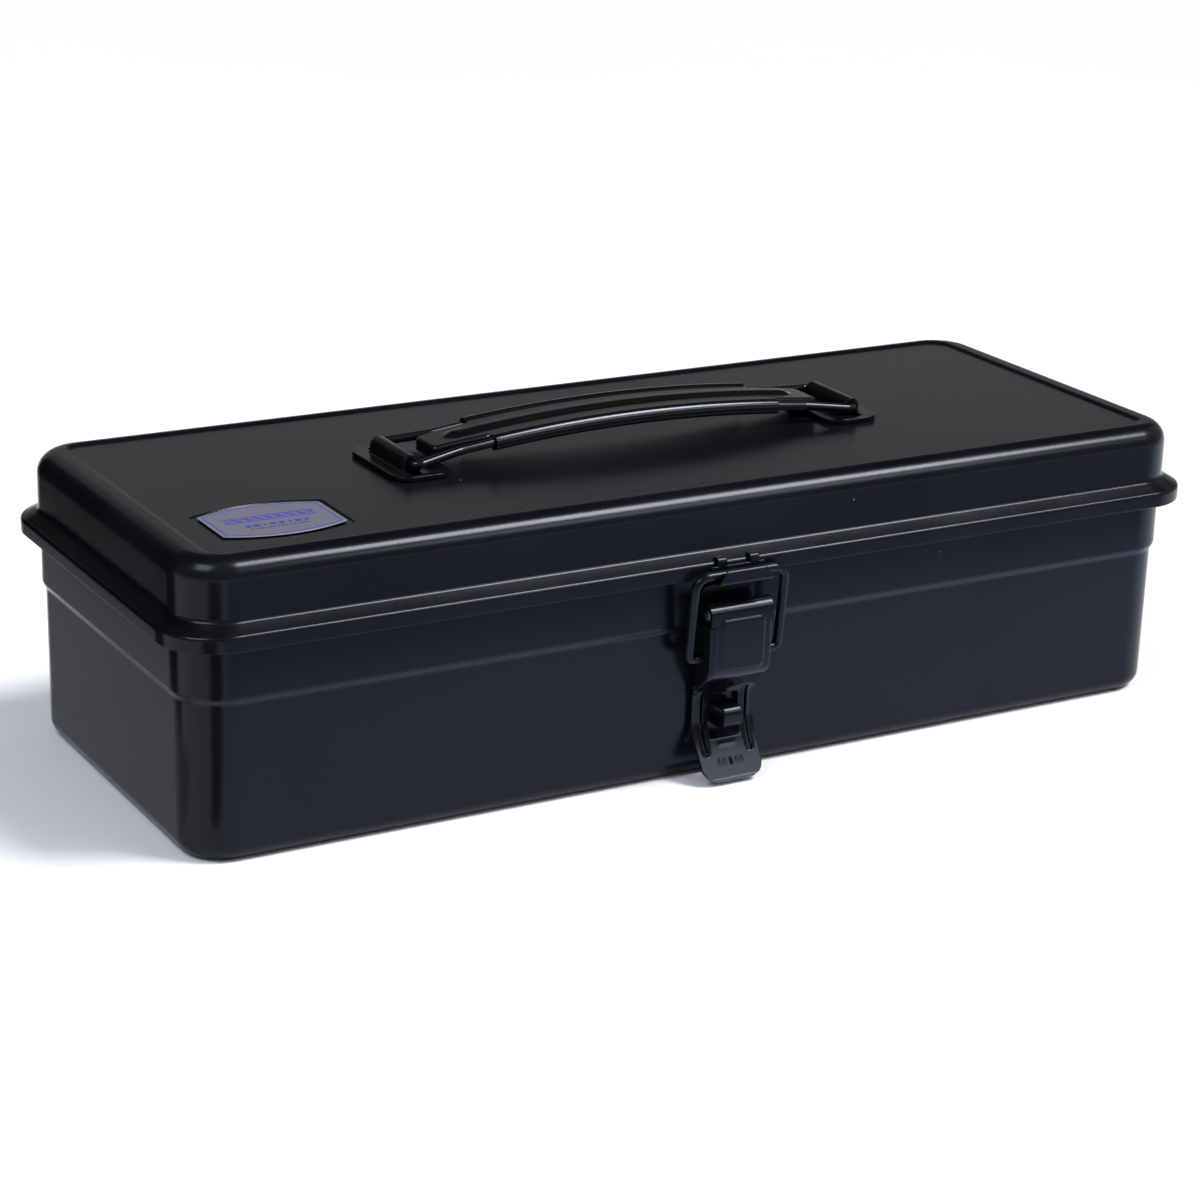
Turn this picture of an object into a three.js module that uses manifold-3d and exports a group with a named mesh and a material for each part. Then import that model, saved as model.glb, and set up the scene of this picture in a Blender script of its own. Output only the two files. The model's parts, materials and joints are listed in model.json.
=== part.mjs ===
// Pressed-steel trunk box with a hinged lid, an over-centre draw latch and a lifting handle.
// Millimetres. X runs along the box, the front (latch) side faces -Y and Z is up.
// The origin is the centre of the flat bottom.
import * as THREE from 'three';
import { mergeVertices } from 'three/addons/utils/BufferGeometryUtils.js';
import Module from 'manifold-3d';

const wasm = await Module();
wasm.setup();

// ---------------------------------------------------------------- driving dimensions
const touchGap = 0.3;              // kept between pieces that touch or are welded together
const runningGap = 0.2;            // radial clearance of a pin in its bore

// The two shells. Insets are measured inwards from the outside of the lid's lip.
const lipLength = 333;
const lipDepth = 131.5;
const lipCorner = 16.7;
const lipBottom = 61.5;
const lipHeight = 4.75;
const lidHeight = 23.5;            // from the lip's lower edge to the lid's rim
const shellSheet = 0.8;
const skirtInset = 4.4;
const skirtCorner = 14.6;
const ledgeBend = 1.6;             // hollow bend between the skirt and the ledge
const lipEdgeRound = 1.25;
const lidFillet = 6;
const panelDepth = 0.7;            // how far the lid's panel is sunk below its rim
const panelStep = 0.9;             // plan width of the slope down to the panel
const panelInsetSide = 10.6;
const panelInsetEnd = 12.6;
const panelCorner = 7;
const bandInset = 4.8;             // upper band of the body
const bandCorner = 14.6;
const wallInsetTop = 5.9;          // lower wall, just under the joggle
const wallInsetBottom = 6.1;
const joggleBelowLip = 15.6;
const joggleSlope = 2;
const bodyFillet = 4.8;
const rimClearance = 0.5;          // between the body's rim and the inside of the lip
const lidSeatGap = 0.35;           // between the body's rim and the underside of the ledge
const cornerSteps = 8;

// Nameplate, set in a shallow pocket of the lid's panel.
const plateLength = 35.6;
const plateEndWidth = 18.4;
const plateBow = 4.7;
const plateThickness = 0.3;
const plateCentreX = -125.6;
const plateCentreY = -31.6;
const pocketMargin = 1.8;
const pocketDepth = 0.4;

// Handle: brackets on the panel, wire bails and a pressed grip with rolled edges.
const bailSpan = 148;              // between the two crossbars
const bailHeight = 3.3;            // crossbar centre above the panel
const bailWire = 2.6;
const bailHalfWidth = 13.2;
const bailBend = 2.4;
const bracketLength = 34;
const bracketWidth = 18;
const bracketOutset = 7;           // from the crossbar to the bracket's outer edge
const bracketSheet = 1.2;
const bracketCorner = 5;
const strapLength = 21.2;
const strapSheet = 1;
const strapClearance = 0.4;
const gripArch = 470;              // radius of the arch along the grip
const gripRise = 8.6;              // centre of the rolled edges above the panel, at mid length
const gripSocketPlay = 0.65;       // radial room for a bail's leg in a rolled edge
const gripTubeSpacing = 19.2;
const gripTubeLength = 95;
const gripSocketWall = 0.35;
const gripSocketDepth = 6;
const gripLength = 130;
const gripEndWidth = 12.6;
const gripNeckWidth = 15.4;
const gripSheet = 0.9;
const gripTopAboveTube = 1.7;      // plate top above the centre of the rolled edges
const gripFlap = 3.4;
const beadWidth = 6.4;
const beadHeight = 1.4;
const beadLength = 117;
const bailReach = 31.2;            // from the crossbar's axis to the end of a leg

// Latch. Points are [y, z]; it sits at the middle of the front.
const latchX = 0;
const leverWidth = 20.5;
const leverSheet = 0.8;
const rollAngle = 105;
const pivotBelowLip = 10.3;
const leverStandOff = 4.65;        // front face of the lever in front of the lip
const pivotPin = 3;
const knuckleSheet = 0.6;
const knuckleRecess = 0.35;
const baseWidth = 17;
const baseSheet = 0.8;
const baseAbovePivot = 6.8;
const baseBelowPivot = 3.6;
const ringWire = 2.7;
const ringWidth = 32;
const ringBend = 4;
const ringFootBend = 1.8;
const ringBarAboveLip = 1.5;       // bar centre above the lip's lower edge
const ringPivotBelow = 13;         // below the lever's pivot
const ringPivotBehind = 1.2;       // behind it, which makes the latch lock over centre
const ringEndInside = 1;
const flangeDepth = 7.6;
const flangeTopBelowPivot = 2.9;
const bendBelowPivot = 17.2;       // where the lever leaves its front face
const bendHeight = 8.4;
const tongueCurveHeight = 15.2;    // of the tongue's forward curve above its tip
const tongueGap = 1;               // behind the tongue, to the wall
const tongueTipHeight = 1.8;
const tongueTipForward = 4.45;     // tip in front of the lip
const tongueTipCorner = 3.6;
const tongueTipNarrow = 0.5;
const holeWidth = 10;
const holeAboveStaple = 6;
const holeBelowStaple = 7;
const slotOffset = 7.3;
const slotWidth = 0.9;
const slotIntoBend = 0.9;
const slotAboveTip = 6.7;
const padWidth = 14.8;
const padMargin = 1;               // above and below the raised pad
const padRaise = 0.5;
const cutCorner = 1.2;
const keeperWidth = 17.5;
const keeperSheet = 0.7;
const keeperBarGap = 0.25;
const keeperRelease = 1.15;        // room for the bar to swing forward inside the hook
const keeperLipAboveBar = 1.3;
const keeperSlant = 2.4;
const keeperTabWidth = 3;
const keeperTabOffset = 5.25;
const keeperTabReach = 2;
const stapleWidth = 6;
const stapleSheet = 1.1;
const stapleHeight = 7;
const stapleCentre = 19;
const stapleForward = 1.9;         // front of the staple in front of the lip
const stapleBend = 1.8;

// Rear hinges.
const hingeSpacing = 190;
const hingeWidth = 30;
const hingeKnuckle = 14;           // middle knuckle, part of the lid leaf
const hingeSheet = 0.8;
const hingePin = 2;
const hingeBarrel = 3.6;
const hingeBehindLip = 2.15;
const hingeAboveLip = 0.5;         // axis above the lip's lower edge
const hingeLeafMargin = 2;         // from a leaf's far edge to the joggle or the lid's fillet
const hingeSideGap = 0.35;

// ---------------------------------------------------------------- derived places
const lipTop = lipBottom + lipHeight;
const boxHeight = lipBottom + lidHeight;
const joggleHeight = lipBottom - joggleBelowLip;
const lipFront = -lipDepth / 2;
const lipBack = lipDepth / 2;
const panelTop = boxHeight - panelDepth;
const skirtBack = lipBack - skirtInset;
const bandFront = lipFront + bandInset;
const bandBack = lipBack - bandInset;
const wallFront = lipFront + wallInsetTop;
const crossbarZ = panelTop + bailHeight;
const gripTube = bailWire + 2 * (gripSocketPlay + gripSocketWall);
const gripTubeZ = panelTop + gripRise;
const archCentreZ = gripTubeZ - gripArch;
const leverFront = lipFront - leverStandOff;
const knuckleRadius = pivotPin / 2 + runningGap + knuckleSheet;
const rollRadius = knuckleRadius + runningGap + leverSheet;
const pivotHeight = lipBottom - pivotBelowLip;
const ringBarHeight = lipBottom + ringBarAboveLip;
const bendTop = pivotHeight - bendBelowPivot;
const tongueTop = bendTop - bendHeight;
const tongueBottom = tongueTipHeight + tongueCurveHeight;
const pivot = [leverFront + rollRadius, pivotHeight];
const ringPivot = [pivot[0] + ringPivotBehind, pivotHeight - ringPivotBelow];
const keeperBack = lipFront - touchGap;
const keeperFace = keeperBack - keeperSheet;
const ringBarY = keeperFace - keeperBarGap - ringWire / 2;
const keeperLipInner = ringBarY - ringWire / 2 - keeperRelease;
const keeperLipTop = ringBarHeight + keeperLipAboveBar;
const keeperWebTop = ringBarHeight - ringWire / 2 - touchGap;
const hingeAxis = [lipBack + hingeBehindLip, lipBottom + hingeAboveLip];

// ---------------------------------------------------------------- solids and helpers
function solid(geometry) {
  geometry.deleteAttribute('normal');
  geometry.deleteAttribute('uv');
  const merged = mergeVertices(geometry, 1e-4);
  const vertProperties = new Float32Array(merged.attributes.position.array);
  const triVerts = new Uint32Array(merged.index.array);
  return new wasm.Manifold(new wasm.Mesh({ numProp: 3, vertProperties, triVerts }));
}

function geometryOf(manifold) {
  const mesh = manifold.getMesh();
  const geometry = new THREE.BufferGeometry();
  geometry.setAttribute('position', new THREE.BufferAttribute(mesh.vertProperties, 3));
  geometry.setIndex(new THREE.BufferAttribute(mesh.triVerts, 1));
  geometry.computeVertexNormals();
  return geometry;
}

// The outline's points, with arcs in a few straight steps and no point twice.
const arcSteps = 3;
function stepped(shape) {
  const apart = (points) => points.filter(
    (p, i) => p.distanceTo(points[(i + points.length - 1) % points.length]) > 1e-4);
  return new THREE.Shape(apart(shape.getPoints(arcSteps)));
}

function extruded(shape, depth) {
  return new THREE.ExtrudeGeometry(stepped(shape), { depth, bevelEnabled: false, steps: 1 });
}

// An outline in the plane across the box (its x is Y, its y is Z), extruded along X about x = 0.
function acrossX(shape, width, centreX = 0) {
  const geometry = extruded(shape, width);
  geometry.translate(0, 0, centreX - width / 2);
  geometry.applyMatrix4(new THREE.Matrix4().set(0, 0, 1, 0, 1, 0, 0, 0, 0, 1, 0, 0, 0, 0, 0, 1));
  return solid(geometry);
}

// An outline seen from the front (x is X, y is Z), extruded along Y between two values.
function alongY(shape, yLow, yHigh) {
  const geometry = extruded(shape, yHigh - yLow);
  geometry.rotateX(Math.PI / 2);
  geometry.translate(0, yHigh, 0);
  return solid(geometry);
}

// An outline in plan, extruded upwards between two heights.
function upwards(shape, zLow, zHigh) {
  const geometry = extruded(shape, zHigh - zLow);
  geometry.translate(0, 0, zLow);
  return solid(geometry);
}

function rectangle(left, right, low, high) {
  const shape = new THREE.Shape();
  shape.moveTo(left, low);
  shape.lineTo(right, low);
  shape.lineTo(right, high);
  shape.lineTo(left, high);
  return shape;
}

function roundedRectangle(left, right, low, high, radius) {
  const shape = new THREE.Shape();
  shape.absarc(right - radius, low + radius, radius, -Math.PI / 2, 0);
  shape.absarc(right - radius, high - radius, radius, 0, Math.PI / 2);
  shape.absarc(left + radius, high - radius, radius, Math.PI / 2, Math.PI);
  shape.absarc(left + radius, low + radius, radius, Math.PI, Math.PI * 1.5);
  return shape;
}

function polygon(points) {
  return new THREE.Shape(points.map(([a, b]) => new THREE.Vector2(a, b)));
}

// A round bar between two points.
function rod(from, to, radius, sides = 16) {
  const start = new THREE.Vector3(...from);
  const end = new THREE.Vector3(...to);
  const along = end.clone().sub(start);
  const geometry = new THREE.CylinderGeometry(radius, radius, along.length(), sides);
  geometry.applyQuaternion(new THREE.Quaternion().setFromUnitVectors(
    new THREE.Vector3(0, 1, 0), along.clone().normalize()));
  const middle = start.add(end).multiplyScalar(0.5);
  geometry.translate(middle.x, middle.y, middle.z);
  return solid(geometry);
}

function crossRod([y, z], radius, width, centreX = 0, sides = 14) {
  return rod([centreX - width / 2, y, z], [centreX + width / 2, y, z], radius, sides);
}

// A sheet of constant thickness, laid on the right-hand side of the line that it follows.
function sheetSection(line, thickness) {
  const points = line.filter((p, i) => i === 0 || p.distanceTo(line[i - 1]) > 1e-6);
  const inner = points.map((p, i) => {
    const before = points[Math.max(i - 1, 0)];
    const after = points[Math.min(i + 1, points.length - 1)];
    const incoming = i === 0 ? after.clone().sub(p) : p.clone().sub(before);
    const outgoing = i === points.length - 1 ? p.clone().sub(before) : after.clone().sub(p);
    incoming.normalize();
    outgoing.normalize();
    const mean = incoming.clone().add(outgoing).normalize();
    const reach = thickness / mean.dot(incoming);
    return new THREE.Vector2(p.x + mean.y * reach, p.y - mean.x * reach);
  });
  return new THREE.Shape([...points, ...inner.reverse()]);
}

// A wire's route: straight runs between arcs, so that a straight run needs only one step.
class WireRoute extends THREE.Curve {
  constructor(points) {
    super();
    this.points = points;
  }
  getPoint(t) {
    const place = t * (this.points.length - 1);
    const i = Math.min(Math.floor(place), this.points.length - 2);
    return this.points[i].clone().lerp(this.points[i + 1], place - i);
  }
  getPointAt(t) {
    return this.getPoint(t);
  }
  getTangentAt(t) {
    const i = Math.round(t * (this.points.length - 1));
    const here = this.points[i];
    const before = this.points[Math.max(i - 1, 0)];
    const after = this.points[Math.min(i + 1, this.points.length - 1)];
    const incoming = i === 0 ? new THREE.Vector3() : here.clone().sub(before).normalize();
    const outgoing = i === this.points.length - 1
      ? new THREE.Vector3() : after.clone().sub(here).normalize();
    return incoming.add(outgoing).normalize();
  }
}

function roundCorners(corners, radii, steps) {
  const route = [corners[0]];
  for (let i = 1; i < corners.length - 1; i += 1) {
    const into = corners[i].clone().sub(corners[i - 1]).normalize();
    const out = corners[i + 1].clone().sub(corners[i]).normalize();
    const turn = into.angleTo(out);
    const back = radii[i - 1] * Math.tan(turn / 2);
    const centre = corners[i].clone().add(out.clone().sub(into).normalize()
      .multiplyScalar(radii[i - 1] / Math.cos(turn / 2)));
    const first = corners[i].clone().addScaledVector(into, -back).sub(centre);
    const axis = into.clone().cross(out).normalize();
    for (let k = 0; k <= steps; k += 1) {
      route.push(first.clone().applyAxisAngle(axis, (turn * k) / steps).add(centre));
    }
  }
  route.push(corners[corners.length - 1]);
  return route;
}

function wire(corners, radii, diameter, steps = 4, sides = 10) {
  const places = corners.map((c) => new THREE.Vector3(...c));
  const points = roundCorners(places, radii, steps);
  const section = new THREE.Shape();
  section.absarc(0, 0, diameter / 2, 0, Math.PI * 2);
  const outline = new THREE.Shape(section.getSpacedPoints(sides).slice(0, sides));
  return solid(new THREE.ExtrudeGeometry(outline, {
    steps: points.length - 1, bevelEnabled: false, extrudePath: new WireRoute(points),
  }));
}

// A level of a shell: a rounded rectangle of points at one height.
function level(length, depth, radius, z) {
  const x = length / 2 - radius;
  const y = depth / 2 - radius;
  const corners = [[x, -y, -0.5], [x, y, 0], [-x, y, 0.5], [-x, -y, 1]];
  return corners.flatMap(([cx, cy, turn]) => {
    const start = turn * Math.PI;
    const arc = new THREE.ArcCurve(cx, cy, radius, start, start + Math.PI / 2, false);
    return arc.getPoints(cornerSteps).map((p) => new THREE.Vector3(p.x, p.y, z));
  });
}

// A closed body through a run of levels, capped flat on the first and the last.
function throughLevels(levels) {
  const count = levels[0].length;
  const index = [];
  for (let i = 0; i < levels.length - 1; i += 1) {
    for (let j = 0; j < count; j += 1) {
      const a = i * count + j;
      const b = i * count + ((j + 1) % count);
      index.push(a, b, b + count, a, b + count, a + count);
    }
  }
  const flat = (points) => points.map((p) => new THREE.Vector2(p.x, p.y));
  const last = (levels.length - 1) * count;
  THREE.ShapeUtils.triangulateShape(flat(levels[0]), []).forEach(([a, b, c]) => index.push(a, c, b));
  THREE.ShapeUtils.triangulateShape(flat(levels[levels.length - 1]), [])
    .forEach(([a, b, c]) => index.push(last + a, last + b, last + c));
  const geometry = new THREE.BufferGeometry().setFromPoints(levels.flat());
  geometry.setIndex(index);
  return solid(geometry);
}

// Quarter-round steps between two directions, as [outwards, upwards] on a unit circle.
function quarter(fromDegrees, toDegrees, steps = 5) {
  return Array.from({ length: steps + 1 }, (_, k) => {
    const angle = THREE.MathUtils.degToRad(fromDegrees + ((toDegrees - fromDegrees) * k) / steps);
    return [Math.cos(angle), Math.sin(angle)];
  });
}

const all = new THREE.Group();
const paint = { color: 0x0b0b0d, roughness: 0.36, metalness: 0.25 };
const latchPaint = { color: 0x0a0a0b, roughness: 0.42, metalness: 0.3 };
const handlePaint = { color: 0x09090a, roughness: 0.25, metalness: 0.3 };
const pinSteel = { color: 0x3a3a3d, roughness: 0.35, metalness: 0.9 };
const printedPlate = { color: 0xb9b8d2, roughness: 0.4, metalness: 0.35 };

function piece(name, body, finish, parent = all) {
  const mesh = new THREE.Mesh(geometryOf(body), new THREE.MeshStandardMaterial(finish));
  mesh.name = name;
  parent.add(mesh);
  return mesh;
}

// ---------------------------------------------------------------- body shell
function bodyLevel(inset, z) {
  const radius = inset >= bandInset
    ? bandCorner - (inset - bandInset)
    : lipCorner - inset;
  return level(lipLength - 2 * inset, lipDepth - 2 * inset, radius, z);
}

function makeBody() {
  const rimTop = lipTop - shellSheet - lidSeatGap;
  const rimInset = shellSheet + rimClearance;
  const outerCentre = wallInsetBottom + bodyFillet;
  const outer = quarter(-90, 0)
    .map(([out, up]) => bodyLevel(outerCentre - bodyFillet * out, bodyFillet * (1 + up)));
  const inner = quarter(0, -90)
    .map(([out, up]) => bodyLevel(
      outerCentre - (bodyFillet - shellSheet) * out,
      bodyFillet + (bodyFillet - shellSheet) * up));
  return throughLevels([
    ...outer,
    bodyLevel(wallInsetTop, joggleHeight - joggleSlope / 2),
    bodyLevel(bandInset, joggleHeight + joggleSlope / 2),
    bodyLevel(bandInset, rimTop - 2 * shellSheet),
    bodyLevel(bandInset - shellSheet, rimTop - shellSheet),
    bodyLevel(rimInset, rimTop - shellSheet),
    bodyLevel(rimInset, rimTop),
    bodyLevel(bandInset, rimTop),
    bodyLevel(bandInset + shellSheet, rimTop - shellSheet),
    bodyLevel(bandInset + shellSheet, joggleHeight + joggleSlope / 2),
    bodyLevel(wallInsetTop + shellSheet, joggleHeight - joggleSlope / 2),
    ...inner,
  ]);
}
piece('body_shell', makeBody(), paint);

// ---------------------------------------------------------------- lid shell and nameplate
function lidLevel(inset, z) {
  const taper = (lipCorner - skirtCorner) / skirtInset;
  const radius = inset <= skirtInset
    ? lipCorner - taper * inset
    : skirtCorner - (inset - skirtInset);
  return level(lipLength - 2 * inset, lipDepth - 2 * inset, radius, z);
}

function panelLevel(extra, z) {
  return level(
    lipLength - 2 * (panelInsetEnd + extra),
    lipDepth - 2 * (panelInsetSide + extra),
    panelCorner - extra, z);
}

// The nameplate's outline: straight ends and bowed long sides.
function plateOutline(margin) {
  const halfLength = plateLength / 2 + margin;
  const halfEnd = plateEndWidth / 2 + margin;
  const shape = new THREE.Shape();
  shape.moveTo(-halfLength, -halfEnd);
  shape.quadraticCurveTo(0, -halfEnd - 2 * plateBow, halfLength, -halfEnd);
  shape.lineTo(halfLength, halfEnd);
  shape.quadraticCurveTo(0, halfEnd + 2 * plateBow, -halfLength, halfEnd);
  return shape;
}

function makeLid() {
  const filletInset = skirtInset + lidFillet;
  const filletZ = boxHeight - lidFillet;
  const innerFillet = lidFillet - shellSheet;
  const bendInset = skirtInset - ledgeBend;
  const bendZ = lipTop + ledgeBend;
  const innerBend = ledgeBend + shellSheet;
  const shell = throughLevels([
    panelLevel(panelStep, panelTop - shellSheet),
    panelLevel(0, boxHeight - shellSheet),
    ...quarter(90, 0).map(([out, up]) => lidLevel(
      filletInset - innerFillet * out, filletZ + innerFillet * up)),
    ...quarter(180, 270, 3).map(([out, up]) => lidLevel(
      bendInset - innerBend * out, bendZ + innerBend * up)),
    lidLevel(shellSheet, lipTop - shellSheet),
    lidLevel(shellSheet, lipBottom),
    lidLevel(0, lipBottom),
    ...quarter(0, 90, 3).map(([out, up]) => lidLevel(
      lipEdgeRound * (1 - out), lipTop - lipEdgeRound * (1 - up))),
    ...quarter(270, 180, 3).map(([out, up]) => lidLevel(
      bendInset - ledgeBend * out, bendZ + ledgeBend * up)),
    ...quarter(0, 90).map(([out, up]) => lidLevel(
      filletInset - lidFillet * out, filletZ + lidFillet * up)),
    panelLevel(0, boxHeight),
    panelLevel(panelStep, panelTop),
  ]);
  const pocket = upwards(plateOutline(pocketMargin), panelTop - pocketDepth, boxHeight);
  return shell.subtract(pocket.translate([plateCentreX, plateCentreY, 0]));
}
piece('lid_shell', makeLid(), paint);

const plateFloor = panelTop - pocketDepth + touchGap;
const nameplate = piece(
  'nameplate', upwards(plateOutline(0), plateFloor, plateFloor + plateThickness), printedPlate);
nameplate.position.set(plateCentreX, plateCentreY, 0);

// ---------------------------------------------------------------- handle
// Modelled for the right-hand end about its crossbar; the left-hand end is turned half round.
function makeBracket() {
  const low = panelTop + touchGap;
  const high = low + bracketSheet;
  const bore = bailWire / 2 + strapClearance;
  const outside = bore + strapSheet;
  const outline = roundedRectangle(
    bracketOutset - bracketWidth, bracketOutset, -bracketLength / 2, bracketLength / 2, bracketCorner);
  const arch = new THREE.Shape();
  arch.moveTo(-outside, low);
  arch.lineTo(outside, low);
  arch.absarc(0, crossbarZ, outside, 0, Math.PI);
  const tunnel = new THREE.Shape();
  tunnel.moveTo(-bore, low - 1);
  tunnel.lineTo(bore, low - 1);
  tunnel.absarc(0, crossbarZ, bore, 0, Math.PI);
  const windowLength = 2 * bailHalfWidth + bailWire + 2 * strapClearance;
  return upwards(outline, low, high)
    .add(alongY(arch, -strapLength / 2, strapLength / 2))
    .subtract(alongY(tunnel, -windowLength / 2, windowLength / 2));
}

// A U of wire: the crossbar on the origin and two legs that close in towards the grip's edges.
const mouthReach = bailSpan / 2 - gripTubeLength / 2;
const mouthZ = archCentreZ + Math.sqrt(gripArch ** 2 - (gripTubeLength / 2) ** 2);
const legPitch = Math.atan2(mouthZ - crossbarZ, mouthReach);
function makeBail() {
  const along = (reach, y) => [-reach * Math.cos(legPitch), y, reach * Math.sin(legPitch)];
  const half = gripTubeSpacing / 2;
  const closedIn = mouthReach * 0.6;
  return wire(
    [along(bailReach, -half), along(closedIn, -half), along(0, -bailHalfWidth),
      along(0, bailHalfWidth), along(closedIn, half), along(bailReach, half)],
    [6, bailBend, bailBend, 6], bailWire);
}

// A band that follows the grip's arch, between two heights above the rolled edges' centre line.
function archBand(low, high, length, width) {
  const arc = (height) => {
    const radius = gripArch + height;
    const half = Math.asin(length / 2 / radius);
    return new THREE.ArcCurve(0, archCentreZ, radius, Math.PI / 2 - half, Math.PI / 2 + half, false)
      .getPoints(12);
  };
  const shape = new THREE.Shape([...arc(high), ...arc(low).reverse()]);
  return alongY(shape, -width / 2, width / 2);
}

function gripEndOutline(shrink) {
  const tip = gripLength / 2 - shrink;
  const neck = gripNeckWidth / 2 - shrink;
  const end = gripEndWidth / 2 - shrink;
  const round = 2.2 - shrink;
  const shape = new THREE.Shape();
  shape.moveTo(-gripTubeLength / 2 + 4, -neck);
  shape.lineTo(gripTubeLength / 2 - 4, -neck);
  shape.lineTo(tip - round, -end);
  shape.absarc(tip - round, -end + round, round, -Math.PI / 2, 0);
  shape.absarc(tip - round, end - round, round, 0, Math.PI / 2);
  shape.lineTo(gripTubeLength / 2 - 4, neck);
  shape.lineTo(-gripTubeLength / 2 + 4, neck);
  shape.lineTo(-tip + round, end);
  shape.absarc(-tip + round, end - round, round, Math.PI / 2, Math.PI);
  shape.absarc(-tip + round, -end + round, round, Math.PI, Math.PI * 1.5);
  return shape;
}

function makeGrip() {
  const plateTop = gripTopAboveTube;
  const below = gripTubeZ - 12;
  const above = gripTubeZ + 6;
  const plate = archBand(plateTop - gripSheet, plateTop, gripTubeLength, gripTubeSpacing);
  const cap = archBand(plateTop - gripFlap, plateTop, gripLength + 2, gripTubeSpacing)
    .intersect(upwards(gripEndOutline(0), below, above));
  const hollow = archBand(plateTop - gripFlap - 3, plateTop - gripSheet, gripLength + 2, gripTubeSpacing)
    .intersect(upwards(gripEndOutline(gripSheet), below, above));
  const beadOutline = roundedRectangle(
    -beadLength / 2, beadLength / 2, -beadWidth / 2, beadWidth / 2, beadWidth / 2 - 0.01);
  const bead = archBand(plateTop - gripSheet, plateTop + beadHeight, beadLength + 2, beadWidth)
    .intersect(upwards(beadOutline, below, above));
  let grip = plate.add(cap).subtract(hollow).add(bead);
  const socket = gripTube / 2 - gripSocketWall;
  [-1, 1].forEach((side) => {
    const y = (side * gripTubeSpacing) / 2;
    const half = Math.asin(gripTubeLength / 2 / gripArch);
    const route = Array.from({ length: 11 }, (_, k) => {
      const angle = half * (k / 5 - 1);
      return [gripArch * Math.sin(angle), y, archCentreZ + gripArch * Math.cos(angle)];
    });
    grip = grip.add(wire(route, route.slice(2).map(() => 1), gripTube, 1, 12));
  });
  [-1, 1].forEach((side) => [-1, 1].forEach((end) => {
    const y = (side * gripTubeSpacing) / 2;
    const along = (reach) => [
      end * (bailSpan / 2 - reach * Math.cos(legPitch)), y, crossbarZ + reach * Math.sin(legPitch)];
    grip = grip.subtract(rod(along(mouthReach - 2), along(mouthReach + gripSocketDepth), socket, 12));
  }));
  return grip;
}

[['right', 1], ['left', -1]].forEach(([side, sign]) => {
  const end = new THREE.Group();
  end.position.set((sign * bailSpan) / 2, 0, 0);
  end.rotation.z = sign > 0 ? 0 : Math.PI;
  all.add(end);
  piece(`handle_bracket_${side}`, makeBracket(), handlePaint, end);
  piece(`handle_bail_${side}`, makeBail(), handlePaint, end).position.set(0, 0, crossbarZ);
});
piece('handle_grip', makeGrip(), handlePaint);

// ---------------------------------------------------------------- draw latch
const latch = new THREE.Group();
latch.position.set(latchX, 0, 0);
all.add(latch);

function makeLatchBase() {
  const face = bandFront - touchGap;
  const webLow = pivot[1] - knuckleRadius;
  const plate = acrossX(rectangle(
    face - baseSheet, face, pivotHeight - baseBelowPivot, pivotHeight + baseAbovePivot), baseWidth);
  const web = acrossX(rectangle(pivot[0], face, webLow, webLow + knuckleSheet), baseWidth);
  return plate
    .add(web)
    .add(crossRod(pivot, knuckleRadius, leverWidth - 2 * knuckleRecess))
    .subtract(crossRod(pivot, pivotPin / 2 + runningGap, leverWidth + 2));
}

// The lever's side line: tongue tip, in towards the wall, out to the front face, over the roll.
function leverLine() {
  const tongueFace = wallFront - tongueGap - leverSheet;
  const path = new THREE.Path();
  path.moveTo(lipFront - tongueTipForward, tongueTipHeight);
  path.quadraticCurveTo(tongueFace - 0.4, tongueBottom - 6, tongueFace, tongueBottom);
  path.lineTo(tongueFace, tongueTop - 2);
  path.quadraticCurveTo(tongueFace, tongueTop, tongueFace - 1.6, tongueTop + 1.8);
  path.lineTo(leverFront + 1.7, bendTop - 1.9);
  path.quadraticCurveTo(leverFront, bendTop, leverFront, bendTop + 2.2);
  path.lineTo(leverFront, pivotHeight);
  path.absarc(pivot[0], pivot[1], rollRadius, Math.PI,
    Math.PI - THREE.MathUtils.degToRad(rollAngle), true);
  return path.getPoints(4);
}

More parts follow.
